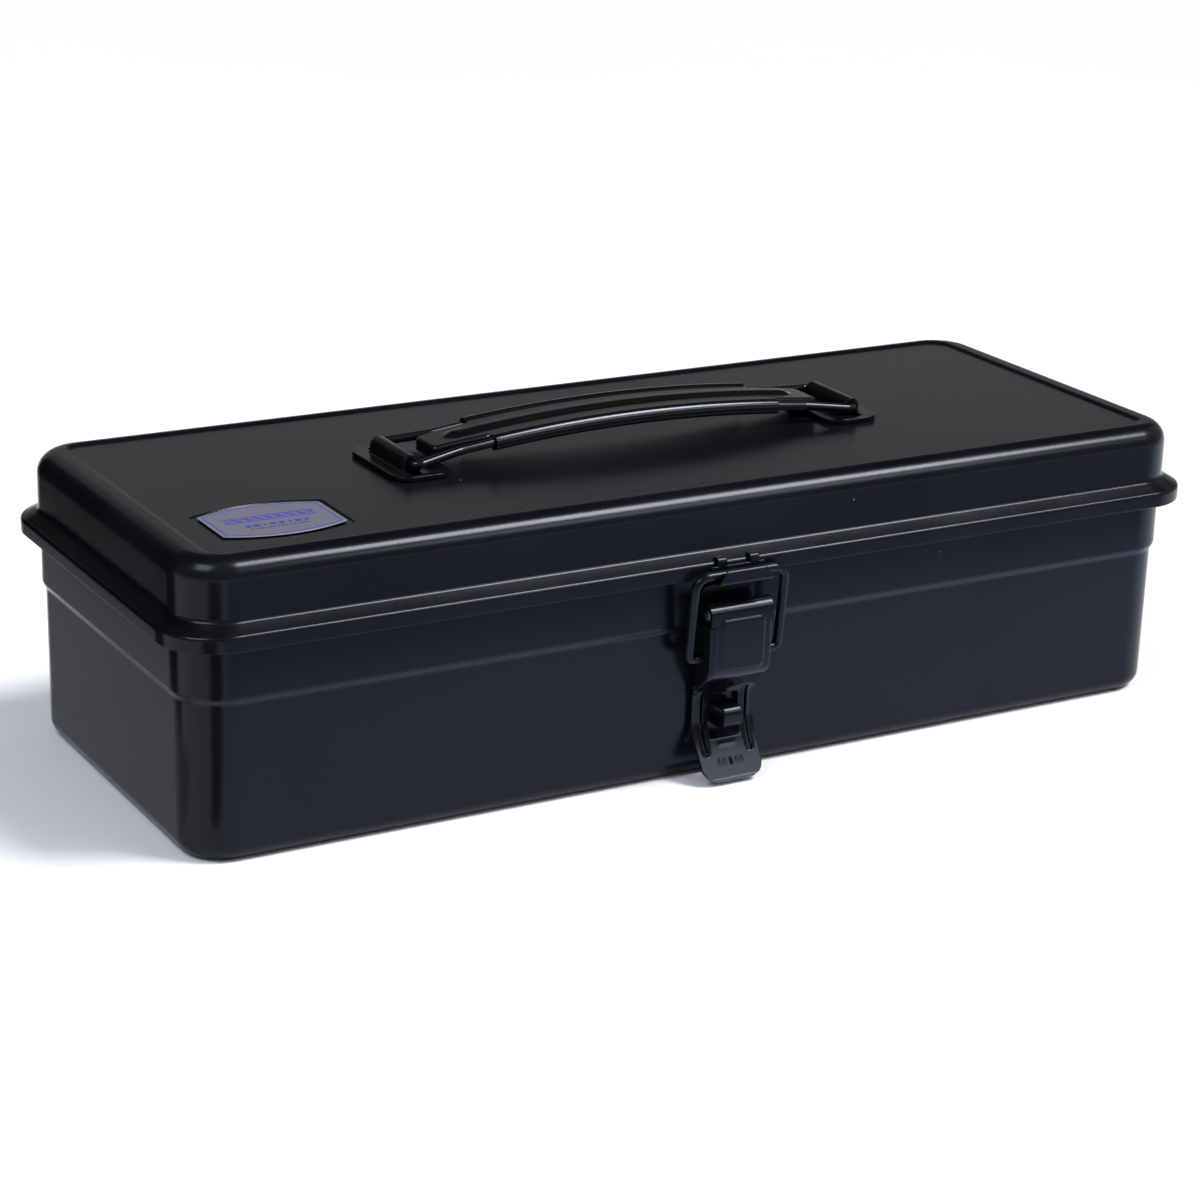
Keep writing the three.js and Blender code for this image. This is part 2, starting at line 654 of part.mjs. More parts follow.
function makeLever() {
  const half = leverWidth / 2;
  const tip = half - tongueTipNarrow;
  const top = pivotHeight + rollRadius + 1;
  const outline = new THREE.Shape();
  outline.absarc(-tip + tongueTipCorner, tongueTipHeight - 0.5 + tongueTipCorner,
    tongueTipCorner, Math.PI, Math.PI * 1.5);
  outline.absarc(tip - tongueTipCorner, tongueTipHeight - 0.5 + tongueTipCorner,
    tongueTipCorner, Math.PI * 1.5, Math.PI * 2);
  outline.lineTo(half, tongueBottom);
  outline.lineTo(half, top);
  outline.lineTo(-half, top);
  outline.lineTo(-half, tongueBottom);
  const cut = (shape) => alongY(shape, leverFront - 3, wallFront);
  let strip = acrossX(sheetSection(leverLine(), leverSheet), leverWidth)
    .intersect(cut(outline))
    .subtract(cut(roundedRectangle(-holeWidth / 2, holeWidth / 2,
      stapleCentre - holeBelowStaple, stapleCentre + holeAboveStaple, cutCorner)));
  [-1, 1].forEach((side) => {
    const x = side * slotOffset;
    strip = strip.subtract(cut(rectangle(x - slotWidth / 2, x + slotWidth / 2,
      tongueTipHeight + slotAboveTip, tongueTop + slotIntoBend)));
  });
  const back = leverFront + flangeDepth;
  const inside = leverSheet / 2;
  const flange = polygon([
    [leverFront + inside, pivotHeight - flangeTopBelowPivot], [leverFront + inside, bendTop],
    [back - 0.9, tongueTop + 2.2], [back, tongueTop + 4],
    [back, pivotHeight - flangeTopBelowPivot - 3], [back - 3, pivotHeight - flangeTopBelowPivot]]);
  const pad = alongY(roundedRectangle(-padWidth / 2, padWidth / 2,
    bendTop + padMargin, pivotHeight - padMargin, cutCorner),
    leverFront - padRaise, leverFront + inside);
  let lever = strip.add(pad);
  [-1, 1].forEach((side) => {
    lever = lever.add(acrossX(flange, leverSheet, side * (half - leverSheet / 2)));
  });
  return lever.subtract(crossRod(ringPivot, ringWire / 2 + runningGap, leverWidth + 2));
}

function makeRing() {
  const side = ringWidth / 2 - ringWire / 2;
  const inner = leverWidth / 2 - leverSheet - ringEndInside;
  const low = ringPivot;
  return wire(
    [[-inner, ...low], [-side, ...low], [-side, ringBarY, ringBarHeight],
      [side, ringBarY, ringBarHeight], [side, ...low], [inner, ...low]],
    [ringFootBend, ringBend, ringBend, ringFootBend], ringWire, 5);
}

// The hook: a plate on the lip, under the ring's bar and up in front of it, with two tabs
// folded over the lip's upper edge.
function makeKeeper() {
  const webLow = keeperWebTop - keeperSheet;
  const line = [[keeperBack, lipTop - lipEdgeRound], [keeperBack, webLow],
    [keeperLipInner - keeperSheet, webLow], [keeperLipInner - keeperSheet, keeperLipTop]];
  const hook = acrossX(sheetSection(line.map(([y, z]) => new THREE.Vector2(y, z)), keeperSheet),
    keeperWidth);
  const half = keeperWidth / 2;
  const slope = polygon([
    [-half, webLow - 1], [half, webLow - 1], [half, keeperWebTop],
    [half - keeperSlant, keeperLipTop], [half, lipTop + 1], [-half, lipTop + 1],
    [-half + keeperSlant, keeperLipTop], [-half, keeperWebTop]]);
  let keeper = hook.intersect(alongY(slope, keeperLipInner - 5, keeperBack + 1));
  const tabTop = lipTop + touchGap;
  const tab = polygon([
    [keeperBack, lipTop - lipEdgeRound - 1], [keeperBack, tabTop - 0.5], [keeperBack + 0.5, tabTop],
    [keeperBack + keeperTabReach, tabTop], [keeperBack + keeperTabReach, tabTop + keeperSheet],
    [keeperBack, tabTop + keeperSheet], [keeperFace, tabTop], [keeperFace, lipTop - lipEdgeRound - 1]]);
  [-1, 1].forEach((side) => {
    keeper = keeper.add(acrossX(tab, keeperTabWidth, side * keeperTabOffset));
  });
  return keeper;
}

// A strap bent to a U on its side, so that a padlock's shackle passes along X.
function makeStaple() {
  const back = wallFront - touchGap;
  const front = lipFront - stapleForward;
  const low = stapleCentre - stapleHeight / 2;
  const high = stapleCentre + stapleHeight / 2;
  const path = new THREE.Path();
  path.moveTo(back, low);
  path.lineTo(front + stapleBend, low);
  path.absarc(front + stapleBend, low + stapleBend, stapleBend, -Math.PI / 2, -Math.PI, true);
  path.lineTo(front, high - stapleBend);
  path.absarc(front + stapleBend, high - stapleBend, stapleBend, Math.PI, Math.PI / 2, true);
  path.lineTo(back, high);
  return acrossX(sheetSection(path.getPoints(4), stapleSheet), stapleWidth);
}

piece('latch_base', makeLatchBase(), latchPaint, latch);
piece('latch_pivot_pin', crossRod(pivot, pivotPin / 2, leverWidth), pinSteel, latch);
piece('latch_lever', makeLever(), latchPaint, latch);
piece('latch_ring', makeRing(), latchPaint, latch);
piece('latch_keeper', makeKeeper(), latchPaint, latch);
piece('padlock_staple', makeStaple(), latchPaint, latch);

// ---------------------------------------------------------------- rear hinges
const barrel = hingeBarrel / 2;
const bore = hingePin / 2 + runningGap;

function makeBodyLeaf() {
  const face = bandBack + touchGap;
  const low = hingeAxis[1] - barrel;
  const middle = hingeKnuckle + 2 * hingeSideGap;
  const plate = acrossX(rectangle(face, face + hingeSheet,
    joggleHeight + joggleSlope / 2 + hingeLeafMargin, low + hingeSheet), hingeWidth);
  const web = acrossX(rectangle(face, hingeAxis[0], low, low + hingeSheet), hingeWidth);
  const reach = barrel + hingeSideGap;
  const window = acrossX(rectangle(hingeAxis[0] - reach, hingeAxis[0] + reach, low - 1,
    hingeAxis[1] + reach), middle);
  return plate
    .add(web)
    .add(crossRod(hingeAxis, barrel, hingeWidth))
    .subtract(window)
    .subtract(crossRod(hingeAxis, bore, hingeWidth + 2));
}

function makeLidLeaf() {
  const face = skirtBack + touchGap;
  const ledge = lipTop + touchGap;
  const outside = hingeAxis[0] - barrel;
  const bendRoom = ledgeBend + touchGap;
  const top = boxHeight - lidFillet - hingeLeafMargin;
  const section = polygon([
    [face, top], [face, ledge + bendRoom], [face + bendRoom, ledge],
    [outside, ledge], [outside, hingeAxis[1]], [outside + hingeSheet, hingeAxis[1]],
    [outside + hingeSheet, ledge + hingeSheet], [face + bendRoom, ledge + hingeSheet],
    [face + hingeSheet, ledge + bendRoom], [face + hingeSheet, top]]);
  const reach = barrel + hingeSideGap;
  const sideWidth = (hingeWidth - hingeKnuckle) / 2 + 1;
  let leaf = acrossX(section, hingeWidth).add(crossRod(hingeAxis, barrel, hingeKnuckle));
  [-1, 1].forEach((side) => {
    const centre = side * (hingeKnuckle / 2 + sideWidth / 2);
    leaf = leaf.subtract(acrossX(rectangle(hingeAxis[0] - reach, hingeAxis[0] + reach,
      hingeAxis[1] - reach, hingeAxis[1] + reach), sideWidth, centre));
  });
  return leaf.subtract(crossRod(hingeAxis, bore, hingeWidth + 2));
}

[['right', 1], ['left', -1]].forEach(([side, sign]) => {
  const hinge = new THREE.Group();
  hinge.position.set((sign * hingeSpacing) / 2, 0, 0);
  all.add(hinge);
  piece(`hinge_body_leaf_${side}`, makeBodyLeaf(), paint, hinge);
  piece(`hinge_lid_leaf_${side}`, makeLidLeaf(), paint, hinge);
  piece(`hinge_pin_${side}`, crossRod(hingeAxis, hingePin / 2, hingeWidth), pinSteel, hinge);
});

export default all;
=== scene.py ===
"""Looks of a black pressed-steel trunk box: shells, lift-up handle, draw latch, hinges and nameplate."""

import json
from math import asin, atan2, cos, degrees, pi, radians, sin, sqrt, tan

import bmesh
import bpy
from bpy.props import FloatProperty, FloatVectorProperty, IntProperty, PointerProperty
from mathutils import Matrix, Quaternion, Vector


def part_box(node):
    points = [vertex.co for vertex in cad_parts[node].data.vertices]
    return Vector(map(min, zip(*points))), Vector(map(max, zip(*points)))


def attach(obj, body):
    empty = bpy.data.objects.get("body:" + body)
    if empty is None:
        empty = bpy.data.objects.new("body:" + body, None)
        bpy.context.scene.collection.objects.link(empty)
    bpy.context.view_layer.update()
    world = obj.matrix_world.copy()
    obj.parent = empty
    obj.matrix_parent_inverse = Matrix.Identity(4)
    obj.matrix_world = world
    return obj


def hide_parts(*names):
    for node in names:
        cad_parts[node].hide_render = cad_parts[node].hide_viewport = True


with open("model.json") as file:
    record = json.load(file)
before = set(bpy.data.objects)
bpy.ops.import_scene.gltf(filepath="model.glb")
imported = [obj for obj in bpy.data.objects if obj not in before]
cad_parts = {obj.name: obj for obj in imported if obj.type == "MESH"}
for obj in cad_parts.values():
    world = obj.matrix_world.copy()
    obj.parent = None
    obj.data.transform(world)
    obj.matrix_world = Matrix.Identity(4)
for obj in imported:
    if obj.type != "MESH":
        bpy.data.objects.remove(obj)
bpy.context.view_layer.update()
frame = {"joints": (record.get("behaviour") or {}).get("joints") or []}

bl_info = {
    "name": "Steel trunk box",
    "version": (1, 0, 0),
    "blender": (4, 5, 0),
    "location": "3D View > Sidebar > Trunk box",
    "description": "Builds the painted steel trunk box around its packed frame",
    "category": "Object",
}

MM = 0.001
SAME_PLACE = 1e-7
ON_BORDER = 1e-8
NARROWEST_CELL = 2e-6


# ---------------------------------------------------------------- sizes that a user would change
def length(name, description, millimetres):
    """A length property whose default is given in millimetres."""
    return FloatProperty(
        name=name, description=description, default=millimetres * MM, min=0.0, unit="LENGTH", precision=5
    )


def share(name, description, default):
    """A property from 0 to 1."""
    return FloatProperty(
        name=name, description=description, default=default, min=0.0, max=1.0, subtype="FACTOR"
    )


def colour(name, description, default):
    """A linear colour property."""
    return FloatVectorProperty(
        name=name, description=description, default=default, min=0.0, max=1.0, size=3, subtype="COLOR"
    )


class ShellSizes(bpy.types.PropertyGroup):
    """Sizes of the two pressed shells. Insets are measured inwards from the outside of the lid's lip."""

    sheet: length("Sheet", "Thickness of the steel sheet", 0.8)
    lip_height: length("Lip height", "Height of the lid's lip", 4.75)
    lip_corner: length("Lip corner", "Corner radius of the lip in plan", 16.7)
    lip_round: length("Lip rounding", "Radius along the lip's upper edge", 1.25)
    skirt_inset: length("Skirt inset", "From the lip to the lid's skirt", 4.4)
    skirt_corner: length("Skirt corner", "Corner radius of the skirt in plan", 14.6)
    ledge_bend: length("Ledge bend", "Radius of the hollow bend between skirt and ledge", 1.6)
    ledge_rise: length("Ledge rise", "How far the ledge rises from the lip to the skirt", 1.5)
    lid_fillet: length("Lid fillet", "Radius along the lid's upper edge", 6.0)
    panel_side: length("Panel side inset", "From the lip to the sunk panel, long sides", 10.6)
    panel_end: length("Panel end inset", "From the lip to the sunk panel, ends", 12.6)
    panel_step: length("Panel step", "Plan width of the slope down to the panel", 2.2)
    panel_depth: length("Panel depth", "How far the panel is sunk below the lid's rim", 0.7)
    panel_corner: length("Panel corner", "Corner radius of the panel", 7.0)
    band_inset: length("Band inset", "From the lip to the body's upper band", 4.8)
    band_corner: length("Band corner", "Corner radius of the body's upper band", 14.6)
    wall_top: length("Wall inset, top", "From the lip to the wall just under the joggle", 5.9)
    wall_bottom: length("Wall inset, bottom", "From the lip to the wall at the bottom", 6.1)
    joggle_drop: length("Joggle drop", "From the lip's lower edge to the joggle", 15.6)
    joggle_half: length("Joggle half height", "Half the height over which the wall steps in", 1.5)
    body_fillet: length("Body fillet", "Radius along the body's lower edge", 4.8)
    rim_gap: length("Rim gap", "Between the body's rim and the inside of the lip", 0.5)
    corner_steps: IntProperty(
        name="Corner steps", description="Steps in each corner of a shell", default=18, min=4
    )


class PlateSizes(bpy.types.PropertyGroup):
    """Sizes of the nameplate and of its print."""

    end_width: length("End width", "Width of the nameplate at its ends", 18.4)
    pocket_margin: length("Pocket margin", "Ledge of the pocket round the nameplate", 1.8)
    pocket_depth: length("Pocket depth", "How far the pocket is sunk below the panel", 0.4)
    border_inset: length("Border inset", "From the plate's edge to the printed line", 1.2)
    border_width: length("Border width", "Width of the printed line", 0.42)


class HandleSizes(bpy.types.PropertyGroup):
    """Sizes of the grip, its wire bails and the brackets."""

    wire: length("Wire", "Diameter of a bail's wire", 2.6)
    crossbar: length("Crossbar height", "Crossbar's centre above the bracket's underside", 3.0)
    leg_spread: length("Leg spread", "Half the distance between a bail's legs at the crossbar", 13.2)
    leg_close: length("Leg close", "Half the distance between a bail's legs in the grip", 9.6)
    wire_bend: length("Wire bend", "Radius of the wire's bends at the crossbar", 2.4)
    wire_offset: length("Wire offset", "Radius of the wire's bend at the mouth of the grip", 6.0)
    bracket_sheet: length("Bracket sheet", "Thickness of a bracket", 1.2)
    bracket_corner: length("Bracket corner", "Corner radius of a bracket", 5.0)
    strap_length: length("Strap length", "Length of the raised half tube on a bracket", 21.2)
    strap_bore: length("Strap bore", "Radius inside the half tube", 1.7)
    strap_sheet: length("Strap sheet", "Thickness of the half tube", 1.0)
    arch: length("Arch", "Radius of the grip's arch", 470.0)
    tube_length: length("Rolled edge length", "Length of the grip's rolled edges", 95.0)
    tube: length("Rolled edge", "Outside diameter of a rolled edge", 4.6)
    tube_wall: length("Rolled edge wall", "Wall of a rolled edge", 0.35)
    plate_rise: length("Plate rise", "Top of the grip's plate above the rolled edges' centre", 1.7)
    plate_sheet: length("Plate sheet", "Thickness of the grip's plate", 0.9)
    neck_width: length("Neck width", "Width of the grip where its ends begin", 14.8)
    end_width: length("End width", "Width of the grip at its tips", 12.6)
    flap: length("Flap", "Depth of the turned-down ends", 3.4)
    bead_width: length("Bead width", "Width of the raised bead along the grip", 7.4)
    bead_height: length("Bead height", "Height of the bead", 1.0)
    bead_length: length("Bead length", "Length of the bead", 117.0)


class LatchSizes(bpy.types.PropertyGroup):
    """Sizes of the draw latch, its hook and the padlock staple."""

    sheet: length("Lever sheet", "Thickness of the lever", 0.8)
    roll: length("Roll", "Outside radius of the rolled top", 3.3)
    bend: length("Side bend", "Outside radius between front and flanges", 1.3)
    flange: length("Flange", "Depth of the lever's side flanges", 7.6)
    bend_height: length("Bend height", "Height over which the lever turns in to its tongue", 8.4)
    bend_drop: length("Bend drop", "From the pivot down to the bend", 17.2)
    tongue_curve: length("Tongue curve", "Height of the tongue's forward curve", 15.2)
    tongue_forward: length("Tongue forward", "Tongue's tip in front of the lip", 4.45)
    tip_corner: length("Tip corner", "Corner radius of the tongue's tip", 3.6)
    pad_width: length("Pad width", "Width of the raised pad", 14.8)
    pad_raise: length("Pad raise", "Height of the raised pad", 0.5)
    hole_width: length("Hole width", "Width of the hole over the staple", 10.0)
    slot_offset: length("Slot offset", "From the middle to a slit", 7.3)
    slot_width: length("Slot width", "Width of a slit", 0.9)
    ring_wire: length("Ring wire", "Diameter of the ring's wire", 2.7)
    ring_bend: length("Ring bend", "Radius of the ring's upper corners", 4.0)
    ring_foot: length("Ring foot", "Radius of the ring's lower corners", 1.8)
    knuckle: length("Knuckle", "Outside radius of the fixed knuckle", 2.3)
    base_width: length("Base width", "Width of the fixed plate behind the lever", 17.0)
    keeper_sheet: length("Hook sheet", "Thickness of the hook plate", 0.7)
    keeper_slant: length("Hook slant", "How far the hook's ends slant in", 2.4)
    hook_drop: length("Hook drop", "From the top of the tabs to the top of the hook", 2.25)
    keeper_curl: length("Hook curl", "How far the hook's edge is curled back", 1.25)
    staple_sheet: length("Staple sheet", "Thickness of the staple's strap", 1.1)
    staple_bend: length("Staple bend", "Radius of the staple's bends", 2.9)


class HingeSizes(bpy.types.PropertyGroup):
    """Sizes of the rear hinges."""

    sheet: length("Leaf sheet", "Thickness of a leaf", 0.7)
    barrel: length("Barrel", "Outside diameter of the knuckles", 3.5)
    wall: length("Knuckle wall", "Wall of a knuckle", 0.6)
    weld: length("Weld mark", "Radius of a spot weld's dimple", 1.9)


class Finishes(bpy.types.PropertyGroup):
    """Colours and gloss of the finishes."""

    shell_black: colour("Shell black", "Enamel on the shells", (0.0028, 0.0031, 0.004))
    shell_gloss: share("Shell roughness", "Roughness of the shells' enamel", 0.22)
    latch_black: colour("Latch black", "Enamel on the latch", (0.0028, 0.0031, 0.004))
    latch_gloss: share("Latch roughness", "Roughness of the latch's enamel", 0.2)
    handle_black: colour("Handle black", "Enamel on the handle", (0.0028, 0.0028, 0.0034))
    handle_gloss: share("Handle roughness", "Roughness of the handle's enamel", 0.19)
    pin_grey: colour("Pin steel", "Darkened steel of the pins", (0.30, 0.30, 0.31))
    plate_silver: colour("Plate silver", "Foil of the nameplate", (0.155, 0.156, 0.2))
    plate_blue: colour("Plate blue", "Blue print on the nameplate", (0.03, 0.03, 0.3))
    plate_grey: colour("Plate grey", "Fine print on the nameplate", (0.02, 0.02, 0.03))
    dust: share("Dust", "How much the dust specks show", 0.35)


class StageSettings(bpy.types.PropertyGroup):
    """Light, floor and camera."""

    floor: share("Floor tone", "Lightness of the floor", 0.86)
    surround: FloatProperty(
        name="Surround", description="Strength of the white surround", default=0.3, min=0.0
    )
    sun: FloatProperty(name="Key", description="Strength of the soft key light", default=3.4, min=0.0)
    sun_angle: FloatProperty(
        name="Key size", description="Width of the key light in the sky",
        default=radians(20), subtype="ANGLE",
    )
    azimuth: FloatProperty(
        name="Azimuth", description="Camera's turn round the box",
        default=radians(-30.2), subtype="ANGLE",
    )
    elevation: FloatProperty(
        name="Elevation", description="Camera's height above the floor",
        default=radians(19.12), subtype="ANGLE",
    )
    roll: FloatProperty(
        name="Roll", description="Camera's roll about its line of sight",
        default=radians(1.72), subtype="ANGLE",
    )
    lens: FloatProperty(name="Lens", description="Focal length in millimetres", default=92.27, min=1.0)


# ---------------------------------------------------------------- outlines and routes
def arc(centre, radius, start, end, steps):
    """Points of an arc in a plane; angles in degrees."""
    turns = [radians(start + (end - start) * k / steps) for k in range(steps + 1)]
    return [(centre[0] + radius * cos(t), centre[1] + radius * sin(t)) for t in turns]


def curve_through(start, control, end, steps):
    """Points of a quadratic curve."""
    points = []
    for k in range(steps + 1):
        t = k / steps
        a, b, c = (1 - t) ** 2, 2 * t * (1 - t), t * t
        points.append(tuple(a * p + b * q + c * r for p, q, r in zip(start, control, end)))
    return points


def filleted(corners, radii, steps=6):
    """A route through corners, each turned with its own radius. Works in a plane or in space."""
    places = [Vector((*c, 0.0)) if len(c) == 2 else Vector(c) for c in corners]
    route = [places[0]]
    for i in range(1, len(places) - 1):
        into = (places[i] - places[i - 1]).normalized()
        out = (places[i + 1] - places[i]).normalized()
        turn = into.angle(out)
        radius = radii[i - 1]
        centre = places[i] + (out - into).normalized() * (radius / cos(turn / 2))
        first = places[i] - into * (radius * tan(turn / 2)) - centre
        axis = into.cross(out).normalized()
        for k in range(steps + 1):
            route.append(centre + Quaternion(axis, turn * k / steps) @ first)
    route.append(places[-1])
    if len(corners[0]) == 2:
        return [(p.x, p.y) for p in route]
    return route


def resampled(line, spacing):
    """The same plane line with points no further apart than the spacing."""
    points = [line[0]]
    for a, b in zip(line, line[1:]):
        gap = sqrt((b[0] - a[0]) ** 2 + (b[1] - a[1]) ** 2)
        count = max(1, round(gap / spacing))
        points += [tuple(p + (q - p) * k / count for p, q in zip(a, b)) for k in range(1, count + 1)]
    kept = points[:1]
    for before, point in zip(points, points[1:]):
        if (Vector(point) - Vector(before)).length > SAME_PLACE:
            kept.append(point)
    return kept


def stations(marks, spacing):
    """Sorted places that include every mark, no further apart than the spacing."""
    marks = sorted(set(round(m, 8) for m in marks))
    found = [marks[0]]
    for a, b in zip(marks, marks[1:]):
        if b - a < NARROWEST_CELL:
            continue
        count = max(1, round((b - a) / spacing))
        found += [a + (b - a) * k / count for k in range(1, count + 1)]
    return found


def smooth_step(x):
    """0 below 0, 1 above 1, and smooth between."""
    x = min(1.0, max(0.0, x))
    return x * x * (3 - 2 * x)


def box_distance(x, y, half_x, half_y, corner):
    """Distance outside a rounded rectangle about the origin; negative inside."""
    qx, qy = abs(x) - half_x + corner, abs(y) - half_y + corner
    return sqrt(max(qx, 0) ** 2 + max(qy, 0) ** 2) + min(max(qx, qy), 0) - corner


def ring(size_x, size_y, corner, z, steps):
    """A rounded rectangle of points about the box's middle, at one height."""
    x, y = size_x / 2 - corner, size_y / 2 - corner
    points = []
    for cx, cy, start in ((x, -y, -90), (x, y, 0), (-x, y, 90), (-x, -y, 180)):
        points += [Vector((*p, z)) for p in arc((cx, cy), corner, start, start + 90, steps)]
    return points


# ---------------------------------------------------------------- meshes
DOME_SHARE = 0.3
EDGE_ANGLE = 38
WELD_DISTANCE = 2e-7


class Form:
    """Points and faces of one piece, gathered from simple shapes."""

    def __init__(self):
        self.points = []
        self.faces = []

    def add(self, points, faces):
        first = len(self.points)
        self.points += [Vector(p) for p in points]
        self.faces += [[first + i for i in f] for f in faces]
        return self

    def rings(self, rings, cap_first=True, cap_last=True, closed=True):
        """A skin through rings of equally many points."""
        count = len(rings[0])
        faces = []
        for i in range(len(rings) - 1):
            for j in range(count if closed else count - 1):
                k = (j + 1) % count
                faces.append([i * count + j, i * count + k, (i + 1) * count + k, (i + 1) * count + j])
        if cap_first:
            faces.append(list(range(count))[::-1])
        if cap_last:
            faces.append([(len(rings) - 1) * count + j for j in range(count)])
        return self.add([p for r in rings for p in r], faces)

    def tube(self, route, radius, sides=18):
        """A round wire along a route, with softly domed ends."""
        route = [Vector(p) for p in route]
        along = [(b - a).normalized() for a, b in zip(route, route[1:])]
        along = [along[0]] + [(a + b).normalized() for a, b in zip(along, along[1:])] + [along[-1]]
        side = along[0].orthogonal().normalized()
        rings = []
        for i, (point, ahead) in enumerate(zip(route, along)):
            if i:
                side = along[i - 1].rotation_difference(ahead) @ side
            up = ahead.cross(side)
            spokes = [side * cos(2 * pi * k / sides) + up * sin(2 * pi * k / sides) for k in range(sides)]
            ends = [(cos(radians(a)), sin(radians(a)) * DOME_SHARE) for a in (75, 50, 25)]
            if i == 0:
                rings += [[point + s * radius * c - ahead * radius * d for s in spokes] for c, d in ends]
            rings.append([point + s * radius for s in spokes])
            if i == len(route) - 1:
                ends.reverse()
                rings += [[point + s * radius * c + ahead * radius * d for s in spokes] for c, d in ends]
        return self.rings(rings)

    def prism(self, outline, low, high, place):
        """A plane outline pushed between two depths; place turns (a, b, depth) into a point."""
        rings = [[place(a, b, depth) for a, b in outline] for depth in (low, high)]
        return self.rings(rings)

    def plate(self, outline, holes, low, high, place):
        """A flat plate with holes, between two depths."""
        loops = [outline, *holes]
        mesh = bmesh.new()
        for loop in loops:
            vertices = [mesh.verts.new((a, b, 0.0)) for a, b in loop]
            for p, q in zip(vertices, vertices[1:] + vertices[:1]):
                mesh.edges.new((p, q))
        bmesh.ops.triangle_fill(mesh, use_beauty=True, edges=mesh.edges[:])
        mesh.verts.index_update()
        flat = [(v.co.x, v.co.y) for v in mesh.verts]
        cells = [[v.index for v in f.verts] for f in mesh.faces]
        mesh.free()
        count = len(flat)
        faces = cells + [[i + count for i in f] for f in cells]
        start = 0
        for loop in loops:
            n = len(loop)
            for j in range(n):
                near, far = start + j, start + (j + 1) % n
                faces.append([near, far, far + count, near + count])
            start += n
        return self.add([place(a, b, depth) for depth in (low, high) for a, b in flat], faces)

    def sheet(self, rows, columns, place, keep=None):
        """One side of a sheet: a point for each row and column, without the cells that are cut out."""
        cells = [
            [i * columns + j, i * columns + j + 1, (i + 1) * columns + j + 1, (i + 1) * columns + j]
            for i in range(rows - 1)
            for j in range(columns - 1)
            if keep is None or keep(i, j)
        ]
        return self.add([place(i, j) for i in range(rows) for j in range(columns)], cells)

    def piece(self, name, finish, body, stands_for=(), sheet=0.0, edge=0.0, closed=True):
        """The finished object: sheet gives it thickness, edge rounds its sharp edges."""
        mesh = bpy.data.meshes.new(name)
        mesh.from_pydata([tuple(p) for p in self.points], [], self.faces)
        work = bmesh.new()
        work.from_mesh(mesh)
        bmesh.ops.remove_doubles(work, verts=work.verts, dist=WELD_DISTANCE)
        bmesh.ops.delete(work, geom=[v for v in work.verts if not v.link_faces], context="VERTS")
        if closed:
            bmesh.ops.recalc_face_normals(work, faces=work.faces)
        work.to_mesh(mesh)
        work.free()
        mesh.shade_smooth()
        made = bpy.data.objects.new(name, mesh)
        bpy.context.scene.collection.objects.link(made)
        if sheet:
            thicken = made.modifiers.new("Sheet", "SOLIDIFY")
            thicken.thickness = sheet
            thicken.offset = -1.0
            thicken.use_even_offset = True
        if edge:
            soften = made.modifiers.new("Edges", "BEVEL")
            soften.width = edge
            soften.segments = 2
            soften.limit_method = "ANGLE"
            soften.angle_limit = radians(EDGE_ANGLE)
        level = made.modifiers.new("Shading", "WEIGHTED_NORMAL")
        level.keep_sharp = True
        level.weight = 60
        bpy.context.view_layer.update()
        graph = bpy.context.evaluated_depsgraph_get()
        final = bpy.data.meshes.new_from_object(made.evaluated_get(graph), depsgraph=graph)
        final.name = name
        made.modifiers.clear()
        made.data = final
        bpy.data.meshes.remove(mesh)
        final.materials.clear()
        final.materials.append(material_of(finish))
        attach(made, body)
        if stands_for:
            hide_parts(*stands_for)


def across(x_shift=0.0):
    """Places a (y, z) outline across the box, pushed along X."""
    return lambda y, z, x: Vector((x + x_shift, y, z))


# ---------------------------------------------------------------- shader expressions
class Value:
    """A number that changes over a surface. Sums, products and the like add Math nodes."""

    def __init__(self, nodes, socket):
        self.nodes = nodes
        self.socket = socket

    def math(self, operation, *others, swap=False, clamp=False):
        inputs = [self, *others]
        if swap:
            inputs.reverse()
        settings = {"operation": operation, "use_clamp": clamp}
        return self.nodes.add("ShaderNodeMath", settings, dict(enumerate(inputs))).out(0)

    def __add__(self, other):
        return self.math("ADD", other)

    __radd__ = __add__

    def __sub__(self, other):
        return self.math("SUBTRACT", other)

    def __rsub__(self, other):
        return self.math("SUBTRACT", other, swap=True)

    def __mul__(self, other):
        return self.math("MULTIPLY", other)

    __rmul__ = __mul__

    def __truediv__(self, other):
        return self.math("DIVIDE", other)

    def __lt__(self, other):
        return self.math("LESS_THAN", other)

    def __gt__(self, other):
        return self.math("GREATER_THAN", other)

    def __abs__(self):
        return self.math("ABSOLUTE")

    def least(self, other):
        return self.math("MINIMUM", other)

    def most(self, other):
        return self.math("MAXIMUM", other)

    def between(self, low, high):
        """0 at low, 1 at high, smooth between and clamped outside."""
        return self.nodes.add(
            "ShaderNodeMapRange",
            {"interpolation_type": "SMOOTHSTEP"},
            {"Value": self, "From Min": low, "From Max": high},
        ).out("Result")

    def repeated(self, period):
        """The remainder after whole periods, never negative."""
        return self.math("FLOORED_MODULO", period)


class Made:
    """One node, whose outputs are read as values."""

    def __init__(self, nodes, node):
        self.nodes = nodes
        self.node = node

    def out(self, key):
        return Value(self.nodes, self.node.outputs[key])


